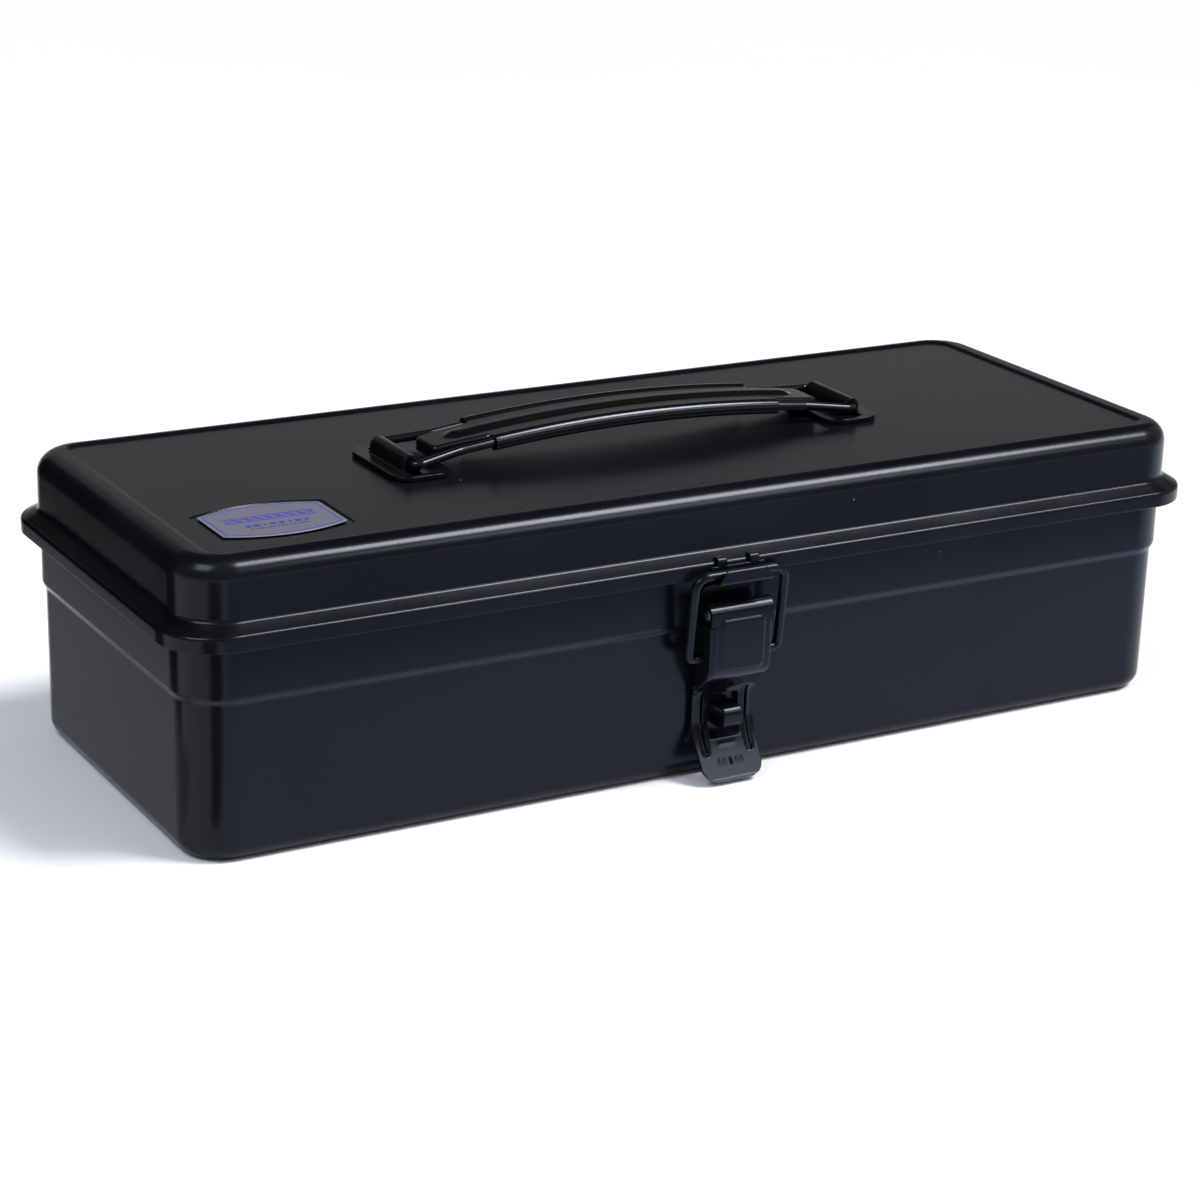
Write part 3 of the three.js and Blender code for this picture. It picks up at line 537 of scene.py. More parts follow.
class Nodes:
    """A material's node tree."""

    def __init__(self, name):
        self.material = bpy.data.materials.new(name)
        self.material.use_nodes = True
        self.tree = self.material.node_tree
        self.tree.nodes.clear()

    def add(self, kind, settings=None, inputs=None):
        """Adds a node: its type, its settings, then the values or links of its sockets."""
        node = self.tree.nodes.new(kind)
        for key, value in (settings or {}).items():
            if key == "stops":
                self.set_stops(node, value)
            else:
                setattr(node, key, value)
        for key, value in (inputs or {}).items():
            if isinstance(value, Value):
                self.tree.links.new(value.socket, node.inputs[key])
            else:
                node.inputs[key].default_value = value
        return Made(self, node)

    @staticmethod
    def set_stops(node, stops):
        ramp = node.color_ramp
        while len(ramp.elements) < len(stops):
            ramp.elements.new(0.5)
        for element, (place, tone) in zip(ramp.elements, stops):
            element.position = place
            element.color = (*tone, 1.0)

    def mix(self, factor, a, b):
        """Colour a where the factor is 0, b where it is 1."""
        a = a if isinstance(a, Value) else (*a, 1.0)
        b = b if isinstance(b, Value) else (*b, 1.0)
        return self.add("ShaderNodeMix", {"data_type": "RGBA"}, {0: factor, 6: a, 7: b}).out(2)

    def place(self):
        """The point on the surface, in metres in the piece's own frame."""
        return self.add("ShaderNodeTexCoord").out("Object")

    def parts(self, vector):
        split = self.add("ShaderNodeSeparateXYZ", None, {0: vector})
        return split.out(0), split.out(1), split.out(2)

    def stretched(self, scale):
        """The surface point scaled unevenly, for lines that run one way."""
        return self.add("ShaderNodeMapping", None, {"Vector": self.place(), "Scale": scale}).out(0)

    def noise(self, scale, detail=2.0, rough=0.5, vector=None):
        return self.add(
            "ShaderNodeTexNoise",
            None,
            {"Vector": vector or self.place(), "Scale": scale, "Detail": detail, "Roughness": rough},
        ).out(0)

    def cells(self, scale, jitter=1.0):
        """Distance to the nearest of many scattered points, in cells, and that point's own colour."""
        made = self.add(
            "ShaderNodeTexVoronoi", None, {"Vector": self.place(), "Scale": scale, "Randomness": jitter}
        )
        return made.out("Distance"), made.out("Color")

    def bump(self, height, depth, strength=1.0, under=None):
        """A normal from a height between 0 and 1 that stands for a depth in metres."""
        inputs = {"Height": height, "Distance": depth, "Strength": strength}
        if under is not None:
            inputs["Normal"] = under
        return self.add("ShaderNodeBump", None, inputs).out(0)

    def edges(self, low, high):
        """1 on convex edges, 0 on flats and hollows."""
        return self.add("ShaderNodeNewGeometry").out("Pointiness").between(low, high)

    def finish(self, **sockets):
        """The surface shader; underscores in the names stand for spaces."""
        inputs = {key.replace("_", " "): value for key, value in sockets.items()}
        shader = self.add("ShaderNodeBsdfPrincipled", None, inputs)
        self.add("ShaderNodeOutputMaterial", None, {"Surface": shader.out(0)})
        return self.material


SHEEN = (0.86, 0.92, 1.0)
WORN_BLACK = (0.01, 0.01, 0.011)
DUST_GREY = (0.45, 0.44, 0.43)
STAIN_BROWN = (0.06, 0.055, 0.05)
ENAMEL_SPECULAR = 0.17
HANDLE_SPECULAR = 0.3
HANDLED_DUST = 0.3
PRINT_DEPTH = 0.006 * MM


def toned(tone, factor):
    """A colour made lighter or darker."""
    return tuple(c * factor for c in tone)


def enamel(name, black, roughness, peel, dust, specular=ENAMEL_SPECULAR):
    """Black stoved enamel: orange peel, slow ripples of the sheet, thin paint on edges, stray dust."""
    n = Nodes(name)
    slow = n.noise(22.0, 2.0)
    fine = n.noise(900.0, 2.0, 0.6)
    grain = n.noise(3800.0, 1.0)
    thin = n.edges(0.515, 0.6) * n.noise(260.0, 3.0).between(0.35, 0.7)
    near, tint = n.cells(95.0)
    chosen = n.parts(tint)[0] > 0.9
    speck = (1 - near.between(0.012, 0.035)) * chosen * dust
    base = n.mix(slow.between(0.3, 0.7), black, toned(black, 1.5))
    base = n.mix(thin * 0.5, base, WORN_BLACK)
    base = n.mix(speck, base, DUST_GREY)
    gloss = roughness + (slow - 0.5) * 0.09 + (fine - 0.5) * 0.05 + thin * 0.08 + speck * 0.3
    ripple = n.bump(n.noise(16.0, 1.0), 0.4 * MM, 0.35)
    skin = n.bump(fine * 0.75 + grain * 0.25, peel, 1.0, ripple)
    return n.finish(
        Base_Color=base,
        Roughness=gloss,
        Metallic=0.0,
        Specular_IOR_Level=specular,
        Specular_Tint=(*SHEEN, 1.0),
        Normal=skin,
    )


def shell_paint(finishes):
    """Satin black of the two shells and the hinge leaves."""
    return enamel("shell_paint", finishes.shell_black, finishes.shell_gloss, 0.012 * MM, finishes.dust)


def latch_paint(finishes):
    """Black of the latch, a little glossier and thinner on its bends."""
    return enamel(
        "latch_paint", finishes.latch_black, finishes.latch_gloss, 0.008 * MM,
        finishes.dust * HANDLED_DUST,
    )


def handle_paint(finishes):
    """Glossy black of the handle."""
    return enamel(
        "handle_paint", finishes.handle_black, finishes.handle_gloss, 0.005 * MM,
        finishes.dust * HANDLED_DUST, HANDLE_SPECULAR,
    )


def pin_steel(finishes):
    """Darkened wire with drawn lines along X and a duller cut end."""
    n = Nodes("pin_steel")
    drawn = n.noise(1.0, 3.0, 0.6, n.stretched((60.0, 2600.0, 2600.0)))
    stain = n.noise(420.0, 3.0).between(0.4, 0.7)
    tone = n.mix(drawn, toned(finishes.pin_grey, 0.55), finishes.pin_grey)
    tone = n.mix(stain * 0.6, tone, STAIN_BROWN)
    return n.finish(
        Base_Color=tone,
        Roughness=0.26 + drawn * 0.16 + stain * 0.12,
        Metallic=1.0,
        Normal=n.bump(drawn, PRINT_DEPTH),
    )


def printed_plate(finishes):
    """Silver-lavender foil with a blue border line, blue bars and two rows of plain marks."""
    n = Nodes("printed_plate")
    sizes = bpy.context.scene.box_plate
    centre, half, _, _ = nameplate_place()
    x, y, _ = n.parts(n.place())
    x, y = x - centre.x, y - centre.y
    bow = half.y - sizes.end_width / 2
    along = x / half.x
    side_room = sizes.end_width / 2 + bow * (1 - along * along) - abs(y)
    end_room = half.x - abs(x)
    room = side_room.least(end_room)
    soft = 0.05 * MM

    def inside(value, limit):
        """1 where the value is under the limit, with a soft printed edge."""
        return 1 - value.between(limit - soft, limit + soft)

    def bar(x_mid, y_mid, half_x, half_y):
        return inside(abs(x - x_mid), half_x) * inside(abs(y - y_mid), half_y)

    def marks(y_mid, half_y, reach, period, filled, seed):
        """A row of plain dashes of uneven length."""
        cell = (x + reach).repeated(period) / period
        number = ((x + reach) / period).math("FLOOR")
        uneven = (number * seed).math("SINE") * 0.16
        dash = inside(abs(cell - 0.5), filled + uneven)
        return inside(abs(x), reach) * inside(abs(y - y_mid), half_y) * dash

    border = inside(abs(room - sizes.border_inset), sizes.border_width / 2)
    rule_half, rule_reach = 0.3 * MM, 13.5 * MM
    upper_rule = bar(0.0, 3.9 * MM, rule_reach, rule_half)
    lower_rule = bar(0.0, 0.3 * MM, rule_reach, rule_half)
    pitch = 3.1 * MM
    slant = (x + y * 0.8).repeated(pitch)
    hatch = inside(abs(slant - pitch / 2), 0.85 * MM) * bar(0.0, 2.1 * MM, 12.6 * MM, 1.05 * MM)
    dashes = marks(-3.6 * MM, 0.95 * MM, 9.6 * MM, 2.4 * MM, 0.3, 2.3)
    blue = border.most(upper_rule.most(lower_rule)).most(hatch).most(dashes)
    grey = marks(-6.1 * MM, 0.42 * MM, 8.8 * MM, 1.1 * MM, 0.28, 4.1)
    grain = n.noise(1.0, 2.0, 0.6, n.stretched((160.0, 5200.0, 100.0)))
    rim = 1 - room.between(0.25 * MM, 0.6 * MM)
    foil = n.mix(grain, toned(finishes.plate_silver, 0.86), finishes.plate_silver)
    foil = n.mix(rim * 0.6, foil, toned(finishes.plate_silver, 1.7))
    tone = n.mix(blue * 0.95, foil, finishes.plate_blue)
    tone = n.mix(grey * 0.9, tone, finishes.plate_grey)
    ink = blue.most(grey)
    return n.finish(
        Base_Color=tone,
        Roughness=0.36 + grain * 0.12 + ink * 0.1,
        Metallic=0.25 - ink * 0.2,
        Normal=n.bump(grain * 0.5 + ink * 0.5, PRINT_DEPTH),
    )


def floor_paper(tone):
    """Pale matt paper under the box."""
    n = Nodes("floor_paper")
    fibre = n.noise(900.0, 3.0)
    cloud = n.noise(3.0, 2.0)
    shade = n.mix(cloud, (tone, tone, tone), (tone * 0.97, tone * 0.97, tone * 0.98))
    return n.finish(Base_Color=shade, Roughness=0.85 + fibre * 0.1, Normal=n.bump(fibre, 0.03 * MM, 0.4))


FINISHES = {
    "shell_paint": shell_paint,
    "latch_paint": latch_paint,
    "handle_paint": handle_paint,
    "pin_steel": pin_steel,
    "printed_plate": printed_plate,
}
MADE_FINISHES = {}


def material_of(finish):
    """The material of a finish, made on first use."""
    if finish not in MADE_FINISHES:
        MADE_FINISHES[finish] = FINISHES[finish](bpy.context.scene.box_finishes)
    return MADE_FINISHES[finish]


# ---------------------------------------------------------------- places that the frame gives
class Places:
    """Where things are, read from the frame's boxes."""

    def __init__(self, sizes):
        lid_low, lid_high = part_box("lid_shell")
        self.length = lid_high.x - lid_low.x
        self.depth = lid_high.y - lid_low.y
        self.lip_bottom = lid_low.z
        self.lip_top = lid_low.z + sizes.lip_height
        self.rim = lid_high.z
        self.panel = lid_high.z - sizes.panel_depth
        self.lip_front = lid_low.y
        self.body_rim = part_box("body_shell")[1].z
        self.joggle = self.lip_bottom - sizes.joggle_drop
        self.wall_front = self.lip_front + sizes.wall_top


def places():
    return Places(bpy.context.scene.box_shells)


class BOX_OT_body_shell(bpy.types.Operator):
    """Builds the deep-drawn body with its joggle and turned-out rim"""

    bl_idname = "trunkbox.body_shell"
    bl_label = "Body shell"

    def execute(self, context):
        s = context.scene.box_shells
        at = places()

        def level(inset, z):
            corner = s.lip_corner - inset
            if inset >= s.band_inset:
                corner = s.band_corner - (inset - s.band_inset)
            return ring(at.length - 2 * inset, at.depth - 2 * inset, corner, z, s.corner_steps)

        def bottom(radius, start, end):
            middle = s.wall_bottom + s.body_fillet
            turns = arc((0.0, s.body_fillet), radius, start, end, 9)
            return [level(middle - out, z) for out, z in turns]

        def joggle(offset):
            steps = [k / 8 for k in range(9)]
            return [
                level(
                    s.wall_top + offset + (s.band_inset - s.wall_top) * smooth_step(t),
                    at.joggle + (2 * t - 1) * s.joggle_half,
                )
                for t in steps
            ]

        def rim(radius, start, end):
            centre_inset = s.band_inset - s.sheet
            turns = arc((0.0, at.body_rim - 2 * s.sheet), radius, start, end, 5)
            return [level(centre_inset - out, z) for out, z in turns]

        edge = s.sheet + s.rim_gap
        nose = s.sheet / 2
        nose_turns = arc((0.0, at.body_rim - nose), nose, -80, 80, 6)
        nose_turn = [level(edge + nose - out, z) for out, z in nose_turns]
        form = Form()
        form.rings(
            bottom(s.body_fillet, -90, 0)
            + joggle(0.0)
            + rim(s.sheet, 180, 90)
            + nose_turn
            + rim(2 * s.sheet, 90, 180)
            + joggle(s.sheet)[::-1]
            + bottom(s.body_fillet - s.sheet, 0, -90)
        )
        form.piece("body_pressing", "shell_paint", "body", ["body_shell"])
        return {"FINISHED"}


def plate_outline(half_x, half_end, bow, centre, steps=24):
    """The nameplate's outline: straight ends and bowed long sides."""
    near = curve_through((-half_x, -half_end), (0.0, -half_end - 2 * bow), (half_x, -half_end), steps)
    far = [(-x, -y) for x, y in near]
    return [(x + centre.x, y + centre.y) for x, y in near + far]


def nameplate_place():
    low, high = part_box("nameplate")
    return (low + high) / 2, (high - low) / 2, low, high


class BOX_OT_lid_shell(bpy.types.Operator):
    """Builds the lid: lip, hollow ledge bend, skirt, rounded top, sunk panel and the nameplate's pocket"""

    bl_idname = "trunkbox.lid_shell"
    bl_label = "Lid shell"

    def execute(self, context):
        s = context.scene.box_shells
        p = context.scene.box_plate
        at = places()

        def level(inset, z):
            taper = (s.lip_corner - s.skirt_corner) / s.skirt_inset
            corner = s.lip_corner - taper * inset
            if inset > s.skirt_inset:
                corner = s.skirt_corner - (inset - s.skirt_inset)
            return ring(at.length - 2 * inset, at.depth - 2 * inset, corner, z, s.corner_steps)

        def panel(extra, z):
            return ring(
                at.length - 2 * (s.panel_end + extra), at.depth - 2 * (s.panel_side + extra),
                s.panel_corner - extra, z, s.corner_steps,
            )

        def top_round(radius, start, end, steps=10):
            turns = arc((0.0, at.rim - s.lid_fillet), radius, start, end, steps)
            return [level(s.skirt_inset + s.lid_fillet - out, z) for out, z in turns]

        def ledge(radius, start, end):
            turns = arc((0.0, at.lip_top + s.ledge_rise + s.ledge_bend), radius, start, end, 6)
            return [level(s.skirt_inset - s.ledge_bend - out, z) for out, z in turns]

        def step_down(drop):
            top = at.rim - drop
            shares = [k / 8 for k in range(9)]
            return [panel(s.panel_step * t, top - s.panel_depth * smooth_step(t)) for t in shares]

        nose = s.sheet / 2 - 0.05 * MM
        hem_turns = arc((0.0, at.lip_bottom + nose), nose, 180, 360, 6)
        hem = [level(s.sheet / 2 - out, z) for out, z in hem_turns]
        lip_turns = arc((0.0, at.lip_top - s.lip_round), s.lip_round, 0, 75, 6)
        lip_round = [level(s.lip_round - out, z) for out, z in lip_turns]
        rings = (
            step_down(s.sheet)[::-1]
            + top_round(s.lid_fillet - s.sheet, 90, 0)
            + ledge(s.ledge_bend + s.sheet, 180, 245)
            + [level(s.sheet, at.lip_top - s.sheet)]
            + hem
            + lip_round
            + ledge(s.ledge_bend, 245, 180)
            + top_round(s.lid_fillet, 0, 90)
            + step_down(0.0)
        )
        form = Form()
        form.rings(rings, cap_last=False)
        centre, half, _, _ = nameplate_place()
        half_end = p.end_width / 2
        bow = half.y - half_end
        slope = 0.5 * MM
        mouth = plate_outline(half.x + p.pocket_margin, half_end + p.pocket_margin, bow, centre)
        turns = [(smooth_step(k / 4), slope * k / 4) for k in range(5)]
        pocket = [
            [
                Vector((x, y, at.panel - p.pocket_depth * deep))
                for x, y in plate_outline(
                    half.x + p.pocket_margin - inward, half_end + p.pocket_margin - inward, bow, centre
                )
            ]
            for deep, inward in turns
        ]
        form.rings(pocket, cap_first=False)
        mesh = bmesh.new()
        for loop in ([(v.x, v.y) for v in rings[-1]], mouth):
            spread = []
            for a, b in zip(loop, loop[1:] + loop[:1]):
                if (Vector(a) - Vector(b)).length > SAME_PLACE:
                    spread.append(a)
            vertices = [mesh.verts.new((a, b, at.panel)) for a, b in spread]
            for v, w in zip(vertices, vertices[1:] + vertices[:1]):
                mesh.edges.new((v, w))
        bmesh.ops.triangle_fill(mesh, use_beauty=True, edges=mesh.edges[:])
        mesh.verts.index_update()
        form.add([v.co for v in mesh.verts], [[v.index for v in f.verts] for f in mesh.faces])
        mesh.free()
        form.piece("lid_pressing", "shell_paint", "lid", ["lid_shell"])
        return {"FINISHED"}


class BOX_OT_nameplate(bpy.types.Operator):
    """Builds the thin printed nameplate with its rolled edge"""

    bl_idname = "trunkbox.nameplate"
    bl_label = "Nameplate"

    def execute(self, context):
        p = context.scene.box_plate
        centre, half, low, high = nameplate_place()
        half_end = p.end_width / 2
        bow = half.y - half_end
        form = Form()
        edge = 0.12 * MM
        roll = edge * 0.3
        layers = [
            (edge, low.z), (0.0, low.z + edge), (0.0, high.z - edge), (roll, high.z - roll), (edge, high.z)
        ]
        form.rings([
            [Vector((x, y, z)) for x, y in plate_outline(half.x - inward, half_end - inward, bow, centre)]
            for inward, z in layers
        ])
        form.piece("nameplate_foil", "printed_plate", "lid", ["nameplate"])
        return {"FINISHED"}


# ---------------------------------------------------------------- handle
BEAD_ROOM = 1.4 * MM
BEAD_SLOPE = 2.8 * MM


def crossbar_place(side):
    """The crossbar's centre: X from the bail's outer end, Z from the bracket's underside."""
    h = bpy.context.scene.box_handle
    low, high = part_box(f"handle_bail_{side}")
    bracket_low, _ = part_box(f"handle_bracket_{side}")
    x = high.x - h.wire / 2 if side == "right" else low.x + h.wire / 2
    return Vector((x, 0.0, bracket_low.z + h.crossbar))


def arch_place():
    """Height of the centre of the arch that the rolled edges follow."""
    h = bpy.context.scene.box_handle
    _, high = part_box("handle_grip")
    return high.z - h.plate_rise - BEAD_ROOM - h.arch


class BOX_OT_handle_brackets(bpy.types.Operator):
    """Builds the two brackets: a rounded plate with a raised half tube over the crossbar"""

    bl_idname = "trunkbox.handle_brackets"
    bl_label = "Handle brackets"

    def execute(self, context):
        h = context.scene.box_handle
        for side in ("right", "left"):
            node = f"handle_bracket_{side}"
            low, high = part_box(node)
            bar = crossbar_place(side)
            top = low.z + h.bracket_sheet
            form = Form()
            shift = (low.x + high.x) / 2
            border = ring(high.x - low.x, high.y - low.y, h.bracket_corner, 0.0, 10)
            outline = [(v.x + shift, v.y) for v in border]
            window_y = h.leg_spread + h.wire / 2 + 0.4 * MM
            window = [(v.x + bar.x, v.y) for v in ring(2 * h.strap_bore, 2 * window_y, 0.6 * MM, 0.0, 3)]
            form.plate(outline, [window[::-1]], low.z, top, lambda x, y, z: Vector((x, y, z)))
            outer = h.strap_bore + h.strap_sheet
            foot = 0.9 * MM
            sunk = top - 0.25 * MM
            section = (
                [(bar.x - outer - foot, sunk)]
                + arc((bar.x - outer - foot, top + foot), foot, -90, 0, 5)
                + arc((bar.x, bar.z), outer, 180, 0, 22)
                + arc((bar.x + outer + foot, top + foot), foot, 180, 270, 5)
                + [(bar.x + outer + foot, sunk)]
                + [(bar.x + h.strap_bore, sunk)]
                + arc((bar.x, bar.z), h.strap_bore, 0, 180, 18)
                + [(bar.x - h.strap_bore, sunk)]
            )
            half = h.strap_length / 2
            form.prism(section, -half, half, lambda x, z, y: Vector((x, y, z)))
            form.piece(f"{node}.plate", "handle_paint", "lid", [node], edge=0.22 * MM)
        return {"FINISHED"}


def mouth_place():
    """Reach from the crossbar to a rolled edge's mouth, and the leg's pitch."""
    h = bpy.context.scene.box_handle
    bar = crossbar_place("right")
    reach = bar.x - h.tube_length / 2
    mouth_z = arch_place() + sqrt(h.arch ** 2 - (h.tube_length / 2) ** 2)
    return reach, atan2(mouth_z - bar.z, reach)


class BOX_OT_handle_bails(bpy.types.Operator):
    """Builds the two U-shaped wires that link the brackets to the grip"""

    bl_idname = "trunkbox.handle_bails"
    bl_label = "Handle bails"

    def execute(self, context):
        h = context.scene.box_handle
        reach, pitch = mouth_place()
        closed_in = reach * 0.6
        for side, sign in (("right", 1), ("left", -1)):
            node = f"handle_bail_{side}"
            low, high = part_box(node)
            bar = crossbar_place(side)
            total = (high.x - low.x - h.wire / 2) / cos(pitch) - 0.5 * h.wire * tan(pitch) - 0.3 * MM

            def leg(distance, y):
                return (bar.x - sign * distance * cos(pitch), y, bar.z + distance * sin(pitch))

            route = filleted(
                [leg(total, -h.leg_close), leg(closed_in, -h.leg_close), leg(0.0, -h.leg_spread),
                 leg(0.0, h.leg_spread), leg(closed_in, h.leg_close), leg(total, h.leg_close)],
                [h.wire_offset, h.wire_bend, h.wire_bend, h.wire_offset], 10,
            )
            form = Form()
            form.tube(route, h.wire / 2, 20)
            form.piece(f"{node}.wire", "handle_paint", f"bail_{side}", [node])
        return {"FINISHED"}


class BOX_OT_handle_grip(bpy.types.Operator):
    """Builds the pressed grip: rolled edges, a raised bead and turned-down ends"""

    bl_idname = "trunkbox.handle_grip"
    bl_label = "Handle grip"

    def execute(self, context):
        h = context.scene.box_handle
        arch_z = arch_place()
        low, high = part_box("handle_grip")
        tip = (high.x - low.x) / 2
        half_tube = h.tube_length / 2

        def on_arch(x, y, rise):
            return Vector((x, y, arch_z + sqrt((h.arch + rise) ** 2 - x * x)))

        def bead(x, y):
            """Height of the pressed bead, which runs out in round ends."""
            away = box_distance(x, y, h.bead_length / 2, h.bead_width / 2, h.bead_width / 2 - 0.05 * MM)
            return h.bead_height * smooth_step(-away / BEAD_SLOPE)

        def plate_columns(x, half_width, rise, count):
            ys = [half_width * (2 * k / count - 1) for k in range(count + 1)]
            return [(y, rise + bead(x, y)) for y in ys]

        radius, bore = h.tube / 2, h.tube / 2 - h.tube_wall
        top_join = sqrt(radius ** 2 - h.plate_rise ** 2)
        under = h.plate_rise - h.plate_sheet
        join_angle = 180 - degrees(asin(h.plate_rise / radius))
        inner_angle = 180 - degrees(asin(under / bore))
        under_join = sqrt(bore ** 2 - under ** 2)

        def middle_section(x):
            right_roll = arc((h.leg_close, 0.0), radius, join_angle, -190, 34)
            right_bore = arc((h.leg_close, 0.0), bore, -190, inner_angle, 30)
            left_roll = [(-y, z) for y, z in right_roll[::-1]]
            left_bore = [(-y, z) for y, z in right_bore[::-1]]
            top_half = h.leg_close - top_join - 0.15 * MM
            under_half = h.leg_close - under_join - 0.15 * MM
            top = plate_columns(x, top_half, h.plate_rise, 30)
            below = plate_columns(x, under_half, under, 30)[::-1]
            loop = top + right_roll + right_bore + below + left_bore + left_roll
            return [on_arch(x, y, z) for y, z in loop]

        form = Form()
        form.rings([middle_section(half_tube * (k / 24 - 1)) for k in range(49)])
        form.piece("handle_grip.rolled", "handle_paint", "grip", ["handle_grip"], edge=0.08 * MM)
        self.ends(h, tip, half_tube, on_arch, bead)
        return {"FINISHED"}

    def ends(self, h, tip, start, on_arch, bead):
        """The two tapered ends, with flaps turned down all round."""
        corner = 2.2 * MM
        bend = 1.0 * MM
        columns = 26

        def side_points(shrink):
            end_half = h.end_width / 2
            slope = (h.neck_width / 2 - end_half) / (tip - corner - start)
            runs = [start + (tip - corner - start) * k / 14 for k in range(14)]
            straight = [(x, h.neck_width / 2 - slope * (x - start) - shrink) for x in runs]
            return straight + arc((tip - corner, end_half - corner), corner - shrink, 90, 0, 6)

        def loop_at(shrink, rise):
            side = side_points(shrink)
            last_x, last_y = side[-1]
            front = [(last_x, last_y * (1 - 2 * k / columns)) for k in range(1, columns)]
            loop = side + front + [(x, -y) for x, y in side[::-1]]
            return [(x, y, rise) for x, y in loop]

        inner = side_points(bend)
        angles = [radians(a) for a in (0, 22, 45, 67, 90)]
        drops = [(bend * (1 - sin(a)), -bend * (1 - cos(a))) for a in angles]
        drops.append((0.0, -h.flap))
        for side, sign in (("right", 1), ("left", -1)):
            form = Form()

            def top(i, j):
                x, y = inner[i]
                y = y * (2 * j / columns - 1)
                return on_arch(sign * x, y * sign, h.plate_rise + bead(x, y))

            form.sheet(len(inner), columns + 1, top)
            rings = []
            for shrink, rise in drops:
                rings.append([
                    on_arch(sign * x, -y * sign, h.plate_rise + rise + (bead(x, y) if rise == 0 else 0))
                    for x, y, _ in loop_at(shrink, rise)
                ])
            form.rings(rings, cap_first=False, cap_last=False, closed=False)
            form.piece(
                f"handle_grip.end_{side}", "handle_paint", "grip",
                sheet=h.plate_sheet, edge=0.1 * MM,
            )


# ---------------------------------------------------------------- draw latch
PIN_PAINT = 0.005 * MM


class LatchPlaces:
    """Pivots and faces of the latch, read from the frame."""

    def __init__(self, latch):
        lever_low, lever_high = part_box("latch_lever")
        pin_low, pin_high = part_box("latch_pivot_pin")
        ring_low, ring_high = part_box("latch_ring")
        self.pivot = ((pin_low.y + pin_high.y) / 2, (pin_low.z + pin_high.z) / 2)
        self.pin = (pin_high.z - pin_low.z) / 2
        self.width = lever_high.x - lever_low.x
        self.front = self.pivot[0] - latch.roll
        self.tip = lever_low.z + 0.6 * MM
        self.ring_width = ring_high.x - ring_low.x
        self.ring_bar = (ring_low.y + latch.ring_wire / 2, ring_high.z - latch.ring_wire / 2)
        joint = [j for j in frame["joints"] if j["name"] == "latch_ring_swing"][0]
        self.ring_pivot = (joint["pos_m"][1], joint["pos_m"][2])


def joint_places():
    return LatchPlaces(bpy.context.scene.box_latch)


